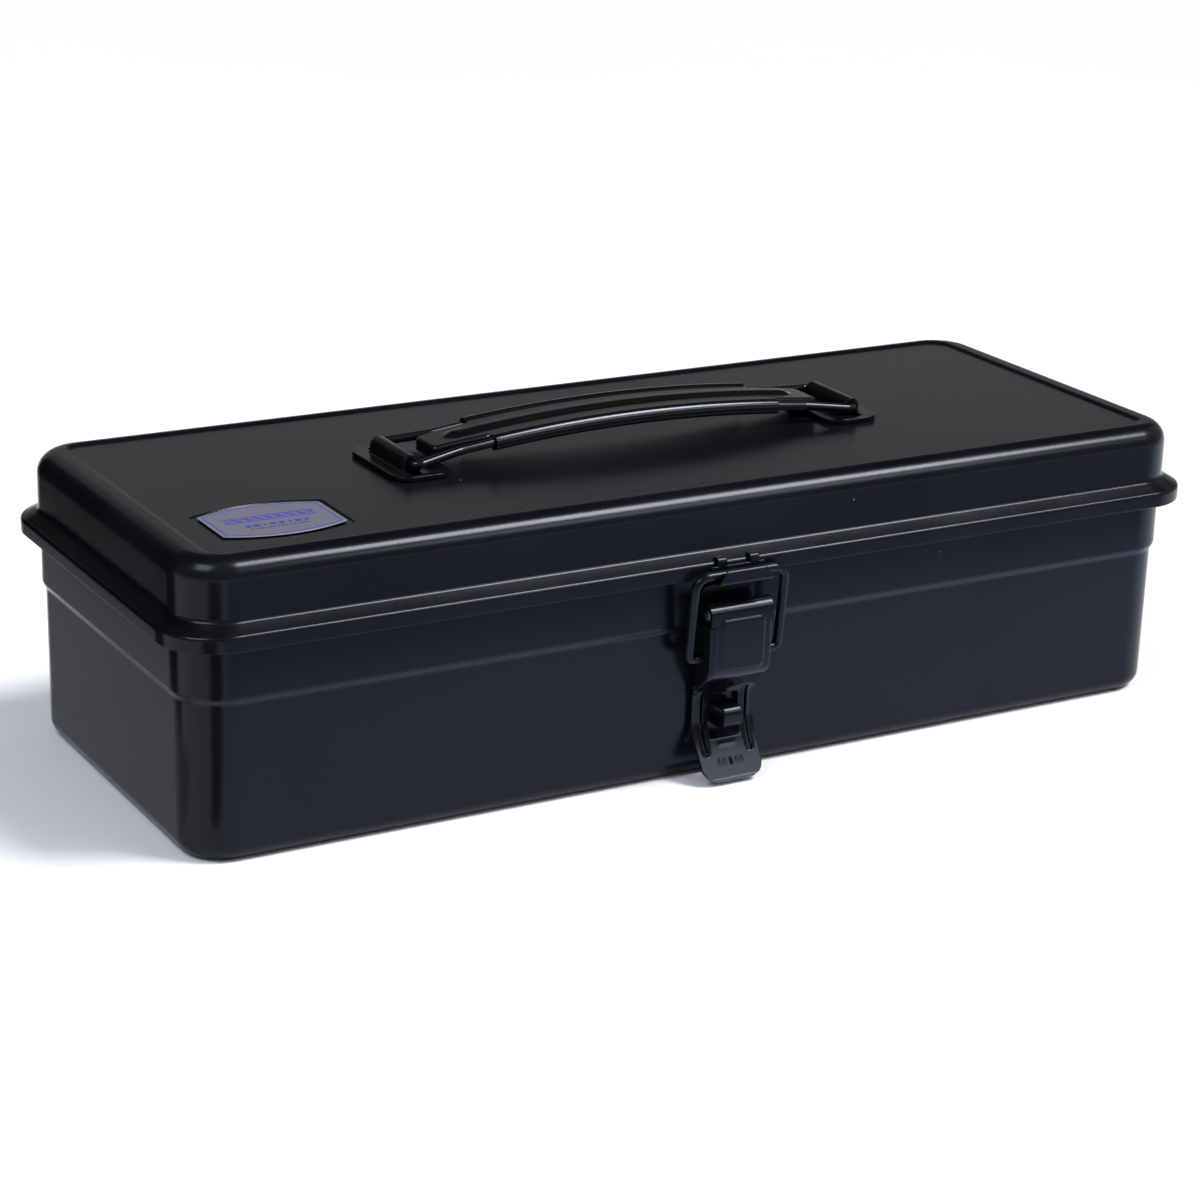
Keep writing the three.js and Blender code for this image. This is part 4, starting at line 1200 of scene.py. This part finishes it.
class BOX_OT_latch_lever(bpy.types.Operator):
    """Builds the latch's lever: rolled top, raised pad, flanges and the slit tongue"""

    bl_idname = "trunkbox.latch_lever"
    bl_label = "Latch lever"

    def execute(self, context):
        t = context.scene.box_latch
        at = joint_places()
        here = places()
        half = at.width / 2
        bend_top = at.pivot[1] - t.bend_drop
        tongue_top = bend_top - t.bend_height
        tongue_bottom = at.tip + t.tongue_curve
        tongue_face = here.wall_front - 1.0 * MM - t.sheet
        line = (
            curve_through(
                (here.lip_front - t.tongue_forward, at.tip),
                (tongue_face - 0.5 * MM, tongue_bottom - 4 * MM), (tongue_face, tongue_bottom), 24)
            + curve_through(
                (tongue_face, tongue_top - 2 * MM), (tongue_face, tongue_top),
                (tongue_face - 1.6 * MM, tongue_top + 1.8 * MM), 8)
            + curve_through(
                (at.front + 1.7 * MM, bend_top - 1.9 * MM), (at.front, bend_top),
                (at.front, bend_top + 2.2 * MM), 8)
            + [(at.front, at.pivot[1])]
        )
        staple_low, staple_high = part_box("padlock_staple")
        staple = (staple_low.z + staple_high.z) / 2
        hole = (0.0, staple - 0.5 * MM, t.hole_width / 2, 6.5 * MM, 1.2 * MM)
        slit_low, slit_high = at.tip + 6.7 * MM, tongue_top + 0.9 * MM
        slit_middle, slit_half = (slit_low + slit_high) / 2, (slit_high - slit_low) / 2
        cuts = [hole]
        for x in (-t.slot_offset, t.slot_offset):
            cuts.append((x, slit_middle, t.slot_width / 2, slit_half, 0.2 * MM))
            cuts.append((x, slit_low, 0.85 * MM, 0.85 * MM, 0.84 * MM))
        pad_low, pad_high = bend_top + 1 * MM, at.pivot[1] - 1 * MM
        pad_middle, pad_half = (pad_low + pad_high) / 2, (pad_high - pad_low) / 2
        flange_top = at.pivot[1] - 2.9 * MM
        flange_low = tongue_top + 1.2 * MM
        mark_z, mark_pitch, mark_round = at.tip + 3.9 * MM, 1.9 * MM, 0.3 * MM
        dimple_z = at.tip + 8.6 * MM
        rib_half = slit_half + 0.6 * MM
        cell = 0.42 * MM

        def face_at(z):
            """The lever's face line at a height below the pivot."""
            for a, b in zip(line, line[1:]):
                if a[1] <= z <= b[1] and b[1] > a[1]:
                    k = (z - a[1]) / (b[1] - a[1])
                    return a[0] + (b[0] - a[0]) * k
            return line[-1][0]

        marks = [at.tip, at.pivot[1], flange_top, pad_low, pad_high]
        for _, z, _, half_z, corner in cuts:
            marks += [z - half_z, z + half_z, z - half_z + corner, z + half_z - corner]
        heights = stations(marks, cell)
        rows = [(face_at(z), z) for z in heights]
        straight_rows = len(rows)
        rows += arc(at.pivot, t.roll, 180, 75, 18)[1:]
        side_marks = [-half + t.bend, 0.0, half - t.bend]
        for x, _, half_x, _, corner in cuts:
            side_marks += [x - half_x, x + half_x, x - half_x + corner, x + half_x - corner]
        front_columns = stations(side_marks, cell)
        last = len(front_columns) - 1
        turns = 5
        back = 5
        columns = len(front_columns) + 2 * (turns + back)

        def half_width(z):
            """The tongue narrows and its corners are round."""
            tip_half = half - 0.5 * MM
            if z >= tongue_bottom:
                return half
            wide = tip_half + (half - tip_half) * (z - at.tip) / (tongue_bottom - at.tip)
            rise = z - at.tip
            if rise < t.tip_corner:
                wide -= t.tip_corner - sqrt(max(0.0, t.tip_corner ** 2 - (t.tip_corner - rise) ** 2))
            return wide

        def rounded_cut(x, z):
            """Moves a point on a cut's border on to its round corner."""
            for cx, cz, half_x, half_z, corner in cuts:
                dx, dz = x - cx, z - cz
                on_border = max(abs(dx) - half_x, abs(dz) - half_z)
                at_corner = abs(dx) > half_x - corner and abs(dz) > half_z - corner
                if abs(on_border) < ON_BORDER and at_corner:
                    sx, sz = (1 if dx > 0 else -1), (1 if dz > 0 else -1)
                    centre = Vector((cx + sx * (half_x - corner), cz + sz * (half_z - corner)))
                    spoke = Vector((x, z)) - centre
                    moved = centre + spoke.normalized() * corner
                    return moved.x, moved.y
            return x, z

        def relief(x, z):
            """How far the face is pressed forward: the pad, the tongue's ribs and its marks."""
            pad = box_distance(x, z - pad_middle, t.pad_width / 2, pad_half, 1.6 * MM)
            raised = t.pad_raise * smooth_step(-pad / (0.5 * MM))
            rib = box_distance(abs(x) - t.slot_offset, z - slit_middle, 1.6 * MM, rib_half, 1.5 * MM)
            raised += 0.28 * MM * smooth_step(-rib / (0.8 * MM))
            dimple = box_distance(x, z - dimple_z, 3.1 * MM, 0.75 * MM, 0.7 * MM)
            raised -= 0.16 * MM * smooth_step(-dimple / (0.7 * MM))
            for k in range(-2, 3):
                bar = box_distance(x - k * mark_pitch, z - mark_z, 0.32 * MM, 1.0 * MM, mark_round)
                raised -= 0.2 * MM * smooth_step(-bar / mark_round)
            return raised

        def outward(i):
            a, b = rows[max(i - 1, 0)], rows[min(i + 1, len(rows) - 1)]
            run = Vector((b[0] - a[0], b[1] - a[1])).normalized()
            return Vector((-run.y, run.x))

        def place(i, j):
            y, z = rows[i]
            side = 0
            k = j - (turns + back)
            if k < 0:
                side, k = -1, -k
            elif k > last:
                side, k = 1, k - last
            if side == 0 and i >= straight_rows:
                return Vector((front_columns[k], y, z))
            if side == 0:
                x, z2 = rounded_cut(front_columns[k] * (half_width(z) / half), z)
                y = face_at(min(z2, at.pivot[1])) if z2 != z else y
                out = outward(i)
                push = relief(x, z2)
                return Vector((x, y + out.x * push, z2 + out.y * push))
            folded = i < straight_rows and flange_low <= z <= flange_top
            if not folded:
                reach = half_width(z) if i < straight_rows else half
                inner = (half - t.bend) * reach / half
                spread = min(1.0, k / turns)
                return Vector((side * (inner + (reach - inner) * spread), y, z))
            if k <= turns:
                angle = radians(90 * k / turns)
                reach = half - t.bend + t.bend * sin(angle)
                return Vector((side * reach, y + t.bend * (1 - cos(angle)), z))
            end = self.flange_back(at.front + t.flange, z, flange_low, flange_top)
            start = y + t.bend
            end = max(end, start + 0.02 * MM)
            return Vector((side * half, start + (end - start) * (k - turns) / back, z))

        def keep(i, j):
            k = j - (turns + back)
            low, high = rows[i][1], rows[i + 1][1]
            if i >= straight_rows - 1:
                return -turns <= k < last + turns
            if 0 <= k < last:
                x = (front_columns[k] + front_columns[k + 1]) / 2
                z = (low + high) / 2
                return not any(abs(x - c[0]) < c[2] and abs(z - c[1]) < c[3] for c in cuts)
            folded = [flange_low <= z <= flange_top for z in (low, high)]
            if -turns <= k < 0 or last <= k < last + turns:
                return folded[0] == folded[1] or high <= tongue_top + 2 * MM
            return folded[0] and folded[1]

        form = Form()
        form.sheet(len(rows), columns, place, keep)
        form.piece(
            "latch_lever.pressing", "latch_paint", "lever", ["latch_lever"],
            sheet=t.sheet, edge=0.12 * MM, closed=False,
        )
        return {"FINISHED"}

    @staticmethod
    def flange_back(back, z, flange_low, flange_top):
        """The flange's rear edge: straight, with a round top corner and a slanted bottom corner."""
        corner = 3.0 * MM
        if z > flange_top - corner:
            return back - corner + sqrt(max(0.0, corner ** 2 - (z - flange_top + corner) ** 2))
        if z < flange_low + corner:
            return back - 1.2 * MM * (1 - (z - flange_low) / corner)
        return back


class BOX_OT_latch_ring(bpy.types.Operator):
    """Builds the latch's wire ring"""

    bl_idname = "trunkbox.latch_ring"
    bl_label = "Latch ring"

    def execute(self, context):
        t = context.scene.box_latch
        at = joint_places()
        side = at.ring_width / 2 - t.ring_wire / 2
        inner = at.width / 2 - t.sheet - 1.0 * MM
        low = at.ring_pivot
        corners = [
            (-inner, *low), (-side, *low), (-side, *at.ring_bar),
            (side, *at.ring_bar), (side, *low), (inner, *low),
        ]
        route = filleted(corners, [t.ring_foot, t.ring_bend, t.ring_bend, t.ring_foot], 12)
        form = Form()
        form.tube(route, t.ring_wire / 2, 20)
        form.piece("latch_ring.wire", "latch_paint", "ring", ["latch_ring"])
        return {"FINISHED"}


class BOX_OT_latch_base(bpy.types.Operator):
    """Builds the latch's fixed plate with its knuckle, and the pivot pin"""

    bl_idname = "trunkbox.latch_base"
    bl_label = "Latch base and pin"

    def execute(self, context):
        t = context.scene.box_latch
        at = joint_places()
        low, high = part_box("latch_base")
        width = t.base_width
        plate_face = high.y
        sheet = t.sheet
        form = Form()
        middle = (low.z + high.z) / 2
        outline = [(v.x, v.y + middle) for v in ring(width, high.z - low.z, 1.6 * MM, 0.0, 5)]
        form.plate(outline, [], plate_face - sheet, plate_face, lambda x, z, y: Vector((x, y, z)))
        web_low = at.pivot[1] - t.knuckle
        web = [
            (at.pivot[0], web_low), (plate_face - sheet * 0.5, web_low),
            (plate_face - sheet * 0.5, web_low + 0.6 * MM), (at.pivot[0], web_low + 0.6 * MM),
        ]
        form.prism(web, -width / 2, width / 2, across())
        bore = at.pin + 0.2 * MM
        roll = arc(at.pivot, t.knuckle, -90, -425, 30) + arc(at.pivot, bore, -425, -90, 26)
        knuckle_half = (high.x - low.x) / 2
        form.prism(roll, -knuckle_half, knuckle_half, across())
        form.piece("latch_base.plate", "latch_paint", "body", ["latch_base"], edge=0.12 * MM)
        pin = Form()
        pin_low, pin_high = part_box("latch_pivot_pin")
        dome = 0.45 * MM
        stops = (pin_low.x + dome, 0.0, pin_high.x - dome)
        pin.tube([(x, *at.pivot) for x in stops], at.pin - PIN_PAINT, 24)
        pin.piece("latch_pin.wire", "pin_steel", "body", ["latch_pivot_pin"])
        return {"FINISHED"}


def sheet_rows(line, widths, x_steps, place_x=0.0):
    """Rows of points for a bent strip: its plane line, and its half width at each point."""
    def place(i, j):
        y, z = line[i]
        return Vector((place_x + widths[i] * (2 * j / x_steps - 1), y, z))
    return place


class BOX_OT_latch_keeper(bpy.types.Operator):
    """Builds the hook on the lid's lip, with its two tabs folded over the lip"""

    bl_idname = "trunkbox.latch_keeper"
    bl_label = "Latch hook"

    def execute(self, context):
        t = context.scene.box_latch
        low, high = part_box("latch_keeper")
        here = places()
        sheet = t.keeper_sheet
        back = here.lip_front - 0.3 * MM
        lip_z = here.lip_top - 1.25 * MM
        web_low = low.z
        hook_top = high.z - t.hook_drop
        corner = 1.0 * MM
        half = (high.x - low.x) / 2
        corners = [
            (back, lip_z), (back, web_low), (low.y, web_low),
            (low.y, hook_top), (low.y + t.keeper_curl, hook_top),
        ]
        line = resampled(filleted(corners, [corner, corner, corner], 6), 0.4 * MM)
        in_front = (low.y + back) / 2

        def half_at(y, z):
            if y > in_front:
                return half
            share_up = max(0.0, (z - web_low - sheet) / (hook_top - web_low - sheet))
            return half - t.keeper_slant * share_up

        widths = [half_at(y, z) for y, z in line]
        form = Form()
        steps = 24
        form.sheet(len(line), steps + 1, sheet_rows(line, widths, steps))
        form.piece(
            "latch_keeper.hook", "latch_paint", "lid", ["latch_keeper"],
            sheet=sheet, edge=0.16 * MM, closed=False,
        )
        tabs = Form()
        tab_half = 1.5 * MM
        tab_top = here.lip_top + 0.3 * MM + sheet
        tab_line = filleted(
            [(back - sheet, lip_z - 1.0 * MM), (back - sheet, tab_top), (back + 2.0 * MM, tab_top)],
            [1.1 * MM], 6,
        )
        tab_line = resampled(tab_line, 0.3 * MM)
        for sign in (-1, 1):
            tabs.sheet(
                len(tab_line), 9, sheet_rows(tab_line, [tab_half] * len(tab_line), 8, sign * 5.25 * MM)
            )
        tabs.piece(
            "latch_keeper.tabs", "latch_paint", "lid",
            sheet=sheet * 0.75, edge=0.16 * MM, closed=False,
        )
        return {"FINISHED"}


class BOX_OT_padlock_staple(bpy.types.Operator):
    """Builds the staple that takes a padlock"""

    bl_idname = "trunkbox.padlock_staple"
    bl_label = "Padlock staple"

    def execute(self, context):
        t = context.scene.box_latch
        low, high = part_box("padlock_staple")
        line = filleted(
            [(high.y, low.z), (low.y, low.z), (low.y, high.z), (high.y, high.z)],
            [t.staple_bend, t.staple_bend], 7,
        )
        line = resampled(line, 0.5 * MM)
        half = (high.x - low.x) / 2
        form = Form()
        form.sheet(len(line), 13, sheet_rows(line, [half] * len(line), 12))
        form.piece(
            "padlock_staple.strap", "latch_paint", "body", ["padlock_staple"],
            sheet=t.staple_sheet, edge=0.2 * MM, closed=False,
        )
        return {"FINISHED"}


# ---------------------------------------------------------------- rear hinges
KNUCKLE_HALF = 7.0 * MM
KNUCKLE_PLAY = 0.35 * MM
WELD_PLACES = (-8.5 * MM, 8.5 * MM, 0.0)
WELD_DEPTH = 0.18 * MM
LEAF_GAP = 0.3 * MM


class BOX_OT_rear_hinges(bpy.types.Operator):
    """Builds the rear hinges: curled leaves with weld dimples, and their pins"""

    bl_idname = "trunkbox.rear_hinges"
    bl_label = "Rear hinges"

    def execute(self, context):
        g = context.scene.box_hinges
        for side in ("right", "left"):
            node = f"hinge_pin_{side}"
            low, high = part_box(node)
            axis = ((low.y + high.y) / 2, (low.z + high.z) / 2)
            middle = (low.x + high.x) / 2
            radius = (high.z - low.z) / 2
            pin = Form()
            dome = 0.3 * MM
            stops = (low.x + dome, middle, high.x - dome)
            pin.tube([(x, *axis) for x in stops], radius - PIN_PAINT, 20)
            pin.piece(f"{node}.wire", "pin_steel", "body", [node])
            self.body_leaf(g, side, axis, middle)
            self.lid_leaf(g, side, axis, middle)
        return {"FINISHED"}

    def leaf(self, g, name, body, node, line, middle, half, kept, welds, flat_rows):
        """One leaf: its line across the hinge, with the knuckles that it keeps."""
        spacing = 0.5 * MM
        line = resampled(line, spacing)
        marks = sorted({round(m, 7) for span in kept for m in span} | {round(-half, 7), round(half, 7)})
        columns = stations(marks, 0.6 * MM)
        if body == "body":
            columns.reverse()
        run = [0.0]
        for a, b in zip(line, line[1:]):
            run.append(run[-1] + (Vector(b) - Vector(a)).length)

        def place(i, j):
            y, z = line[i]
            x = columns[j]
            a, b = line[max(i - 1, 0)], line[min(i + 1, len(line) - 1)]
            ahead = Vector((b[0] - a[0], b[1] - a[1])).normalized()
            dip = 0.0
            for wx, ws in welds:
                away = sqrt((x - wx) ** 2 + (run[i] - ws) ** 2)
                dip = max(dip, WELD_DEPTH * (1 - smooth_step(away / g.weld)))
            return Vector((middle + x, y - ahead.y * dip, z + ahead.x * dip))

        def keep(i, j):
            if run[i + 1] <= flat_rows:
                return True
            x = (columns[j] + columns[j + 1]) / 2
            return any(a < x < b for a, b in kept)

        form = Form()
        form.sheet(len(line), len(columns), place, keep)
        form.piece(name, "shell_paint", body, [node], sheet=g.wall, edge=0.12 * MM, closed=False)

    def body_leaf(self, g, side, axis, middle):
        node = f"hinge_body_leaf_{side}"
        low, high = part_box(node)
        face = low.y + g.wall
        barrel = g.barrel / 2
        half = (high.x - low.x) / 2
        knuckle = KNUCKLE_HALF + KNUCKLE_PLAY
        bend = 0.9 * MM
        under = axis[1] - barrel
        straight = filleted([(face, low.z), (face, under), (axis[0], under)], [bend], 5)
        line = straight + arc(axis, barrel, -90, 215, 26)[1:]
        flat = under - low.z - bend
        welds = [(x, 5 * MM) for x in WELD_PLACES]
        kept = [(-half, -knuckle), (knuckle, half)]
        self.leaf(g, f"{node}.curl", "body", node, line, middle, half, kept, welds, flat)

    def lid_leaf(self, g, side, axis, middle):
        node = f"hinge_lid_leaf_{side}"
        low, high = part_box(node)
        here = places()
        face = low.y + g.wall
        barrel = g.barrel / 2
        half = (high.x - low.x) / 2
        ledge = here.lip_top + LEAF_GAP + g.wall
        outside = axis[0] - barrel
        top = high.z
        drop_x = outside + g.wall
        corners = [(face, top), (face, ledge), (drop_x, ledge), (drop_x, axis[1])]
        line = filleted(corners, [1.7 * MM, 0.55 * MM], 5)[:-1] + [(drop_x, axis[1] + 1.2 * MM)]
        self.lid_curl(g, node, axis, middle, barrel)
        flat = (top - ledge) + (drop_x - face) * 0.9
        welds = [(x, 4 * MM) for x in WELD_PLACES]
        kept = [(-KNUCKLE_HALF, KNUCKLE_HALF)]
        self.leaf(g, f"{node}.curl", "lid", node, line, middle, half, kept, welds, flat)

    def lid_curl(self, g, node, axis, middle, barrel):
        """The lid leaf's own knuckle, curled round the pin."""
        bore = barrel - g.wall
        section = arc(axis, barrel, 180, 480, 30) + arc(axis, bore, 480, 180, 26)
        form = Form()
        form.prism(section, -KNUCKLE_HALF, KNUCKLE_HALF, across(middle))
        form.piece(f"{node}.knuckle", "shell_paint", "lid", edge=0.1 * MM)


# ---------------------------------------------------------------- stage
FLOOR_REACH = 6.0
FLOOR_CELLS = 40
FLOOR_Z = -0.00002
CAMERA_PLACE = (-0.44181, -0.74965, 0.33471)
SENSOR = 36.0
KEY_PLACE = (0.5, -0.32, 0.85)
KEY_TINT = (0.96, 0.965, 1.0)
SOFT_TINT = (0.8, 0.88, 1.0)
STAGE_LAMPS = (
    ("front_strip", 0.5, 0.3, 3.2, (0.6, -0.86, 0.78), (0.0, -0.07, 0.02)),
    ("left_fill", 0.35, 0.35, 3.4, (-0.55, -0.2, 0.7), (-0.22, 0.05, 0.0)),
)
CARD_LEFT = -0.2295
CARD_SPLIT = -0.18
CARD_LOW = 0.0006
CARD_REAR = 0.95
# Glow of the dark cards, which paint reflected shade on the box.
DARK = (0.01, 0.01, 0.01)


def flat_card(x_low, x_high, y_low, y_high, z):
    """Corners of a card that lies flat."""
    return ((x_low, y_low, z), (x_high, y_low, z), (x_high, y_high, z), (x_low, y_high, z))


# Glowing cards seen only in reflections, which paint light and shade into the box's reflections. The dark
# ones paint reflected shade on the box's left end, its upper edges and its top. grey_left paints the
# reflection of a shaded floor at the left. dark_front paints a darker patch in the floor's reflection in
# front. The blue ones paint bright bluish reflected light in front.
STAGE_CARDS = (
    ("dark_left", (0.004, 0.004, 0.004), (
        (CARD_LEFT, -0.01, 0.0), (CARD_LEFT, 0.7, 0.0), (CARD_LEFT, 0.7, 0.6), (CARD_LEFT, -0.01, 0.6),
    )),
    ("dark_high", DARK, (
        (-1.6, CARD_REAR, 0.6), (2.2, CARD_REAR, 0.6), (2.2, CARD_REAR, 2.0), (-1.6, CARD_REAR, 2.0),
    )),
    ("dark_over", DARK, flat_card(-1.6, 2.2, 0.0, CARD_REAR, 1.7)),
    ("blue_near", (1.15, 1.35, 1.9), (
        (-0.17, CARD_SPLIT, CARD_LOW), (0.5, CARD_SPLIT, CARD_LOW),
        (0.5, -0.068, CARD_LOW), (-0.15, -0.068, CARD_LOW),
    )),
    ("blue_far", (0.5, 0.58, 0.82), flat_card(-0.17, 0.9, -0.6, CARD_SPLIT, CARD_LOW)),
    ("grey_left", (0.44, 0.43, 0.48), flat_card(CARD_LEFT, -0.168, -0.04, 0.7, CARD_LOW)),
    ("dark_front", (0.1, 0.1, 0.12), (
        (-0.172, -0.072, CARD_LOW), (-0.165, -0.078, CARD_LOW),
        (-0.28, -0.5, CARD_LOW), (-0.5, -0.42, CARD_LOW),
    )),
)


def placed(data, place, target):
    """Puts a lamp in the scene, aimed at a point."""
    holder = bpy.data.objects.new(data.name, data)
    bpy.context.scene.collection.objects.link(holder)
    holder.location = place
    holder.rotation_mode = "QUATERNION"
    holder.rotation_quaternion = (target - place).to_track_quat("-Z", "Y")


def glowing_reflection_card(name, tone):
    """A glowing card with a faint grain, seen only in reflections. It is no lamp, but its glow paints
    reflected light on the box, and where it is dark it paints reflected shade.
    """
    n = Nodes(name)
    grain = n.noise(300.0, 2.0)
    glow = n.mix(grain, toned(tone, 0.94), toned(tone, 1.06))
    return n.finish(
        Base_Color=(0.0, 0.0, 0.0, 1.0), Roughness=0.9 + grain * 0.05, Specular_IOR_Level=0.0,
        Emission_Color=glow, Emission_Strength=1.0,
    )


class BOX_OT_stage(bpy.types.Operator):
    """Sets the pale floor, the studio light and the camera"""

    bl_idname = "trunkbox.stage"
    bl_label = "Stage"

    def execute(self, context):
        stage = context.scene.box_stage
        reach = FLOOR_REACH
        edge = FLOOR_CELLS
        points = [
            (reach * (2 * i / edge - 1), reach * (2 * j / edge - 1), FLOOR_Z)
            for i in range(edge + 1) for j in range(edge + 1)
        ]
        step = edge + 1
        corners = [i * step + j for i in range(edge) for j in range(edge)]
        faces = [[k, k + step, k + step + 1, k + 1] for k in corners]
        mesh = bpy.data.meshes.new("floor")
        mesh.from_pydata(points, [], faces)
        mesh.materials.append(floor_paper(stage.floor))
        floor = bpy.data.objects.new("floor", mesh)
        context.scene.collection.objects.link(floor)
        context.scene.view_settings.view_transform = "Standard"
        self.surround(stage)
        self.lights(stage)
        self.camera(stage)
        return {"FINISHED"}

    def surround(self, stage):
        """An even white surround."""
        world = bpy.data.worlds.new("studio_surround")
        world.use_nodes = True
        backdrop = world.node_tree.nodes["Background"]
        backdrop.inputs["Color"].default_value = (1.0, 1.0, 1.0, 1.0)
        backdrop.inputs["Strength"].default_value = stage.surround
        bpy.context.scene.world = world

    def lights(self, stage):
        """A wide soft key, a lamp in front, a fill at the left, and glowing cards that only reflections
        show. The cards paint reflected light and shade on the box.
        """
        lamp = bpy.data.lights.new("key", "SUN")
        lamp.energy = stage.sun
        lamp.angle = stage.sun_angle
        lamp.color = KEY_TINT
        placed(lamp, Vector(KEY_PLACE), Vector())
        for name, size_x, size_y, power, place, target in STAGE_LAMPS:
            soft = bpy.data.lights.new(name, "AREA")
            soft.shape = "RECTANGLE"
            soft.size, soft.size_y = size_x, size_y
            soft.energy = power
            soft.color = SOFT_TINT
            placed(soft, Vector(place), Vector(target))
        for name, tone, corners in STAGE_CARDS:
            mesh = bpy.data.meshes.new(name)
            mesh.from_pydata(corners, [], [[0, 1, 2, 3]])
            mesh.materials.append(glowing_reflection_card(name, tone))
            card = bpy.data.objects.new(name, mesh)
            bpy.context.scene.collection.objects.link(card)
            card.visible_camera = False
            card.visible_shadow = False
            card.visible_diffuse = False

    def camera(self, stage):
        """The camera looks down on the box from its left front corner."""
        lens = bpy.data.cameras.new("camera")
        lens.lens = stage.lens
        lens.sensor_width = SENSOR
        holder = bpy.data.objects.new("camera", lens)
        bpy.context.scene.collection.objects.link(holder)
        tilt = radians(90) - stage.elevation
        turn = Matrix.Rotation(stage.azimuth, 4, "Z") @ Matrix.Rotation(tilt, 4, "X")
        roll = Matrix.Rotation(stage.roll, 4, "Z")
        holder.matrix_world = Matrix.Translation(CAMERA_PLACE) @ turn @ roll
        bpy.context.scene.camera = holder


class BOX_PT_panel(bpy.types.Panel):
    """Lists the box's sizes and the steps that build it"""

    bl_idname = "BOX_PT_panel"
    bl_label = "Trunk box"
    bl_space_type = "VIEW_3D"
    bl_region_type = "UI"
    bl_category = "Trunk box"

    def draw(self, context):
        for operator in BUILDERS:
            self.layout.operator(operator.bl_idname)
        for group in GROUPS:
            column = self.layout.box().column()
            settings = getattr(context.scene, group)
            for name in settings.__annotations__:
                column.prop(settings, name)


GROUPS = {
    "box_shells": ShellSizes,
    "box_plate": PlateSizes,
    "box_handle": HandleSizes,
    "box_latch": LatchSizes,
    "box_hinges": HingeSizes,
    "box_finishes": Finishes,
    "box_stage": StageSettings,
}
BUILDERS = (
    BOX_OT_body_shell,
    BOX_OT_lid_shell,
    BOX_OT_nameplate,
    BOX_OT_handle_brackets,
    BOX_OT_handle_bails,
    BOX_OT_handle_grip,
    BOX_OT_latch_base,
    BOX_OT_latch_lever,
    BOX_OT_latch_ring,
    BOX_OT_latch_keeper,
    BOX_OT_padlock_staple,
    BOX_OT_rear_hinges,
    BOX_OT_stage,
)


def register():
    for kind in (*GROUPS.values(), *BUILDERS, BOX_PT_panel):
        bpy.utils.register_class(kind)
    for name, kind in GROUPS.items():
        setattr(bpy.types.Scene, name, PointerProperty(type=kind))


def unregister():
    for name in GROUPS:
        delattr(bpy.types.Scene, name)
    for kind in reversed((*GROUPS.values(), *BUILDERS, BOX_PT_panel)):
        bpy.utils.unregister_class(kind)


def main():
    register()
    for operator in BUILDERS:
        group, name = operator.bl_idname.split(".")
        getattr(getattr(bpy.ops, group), name)()


if __name__ == "__main__":
    main()
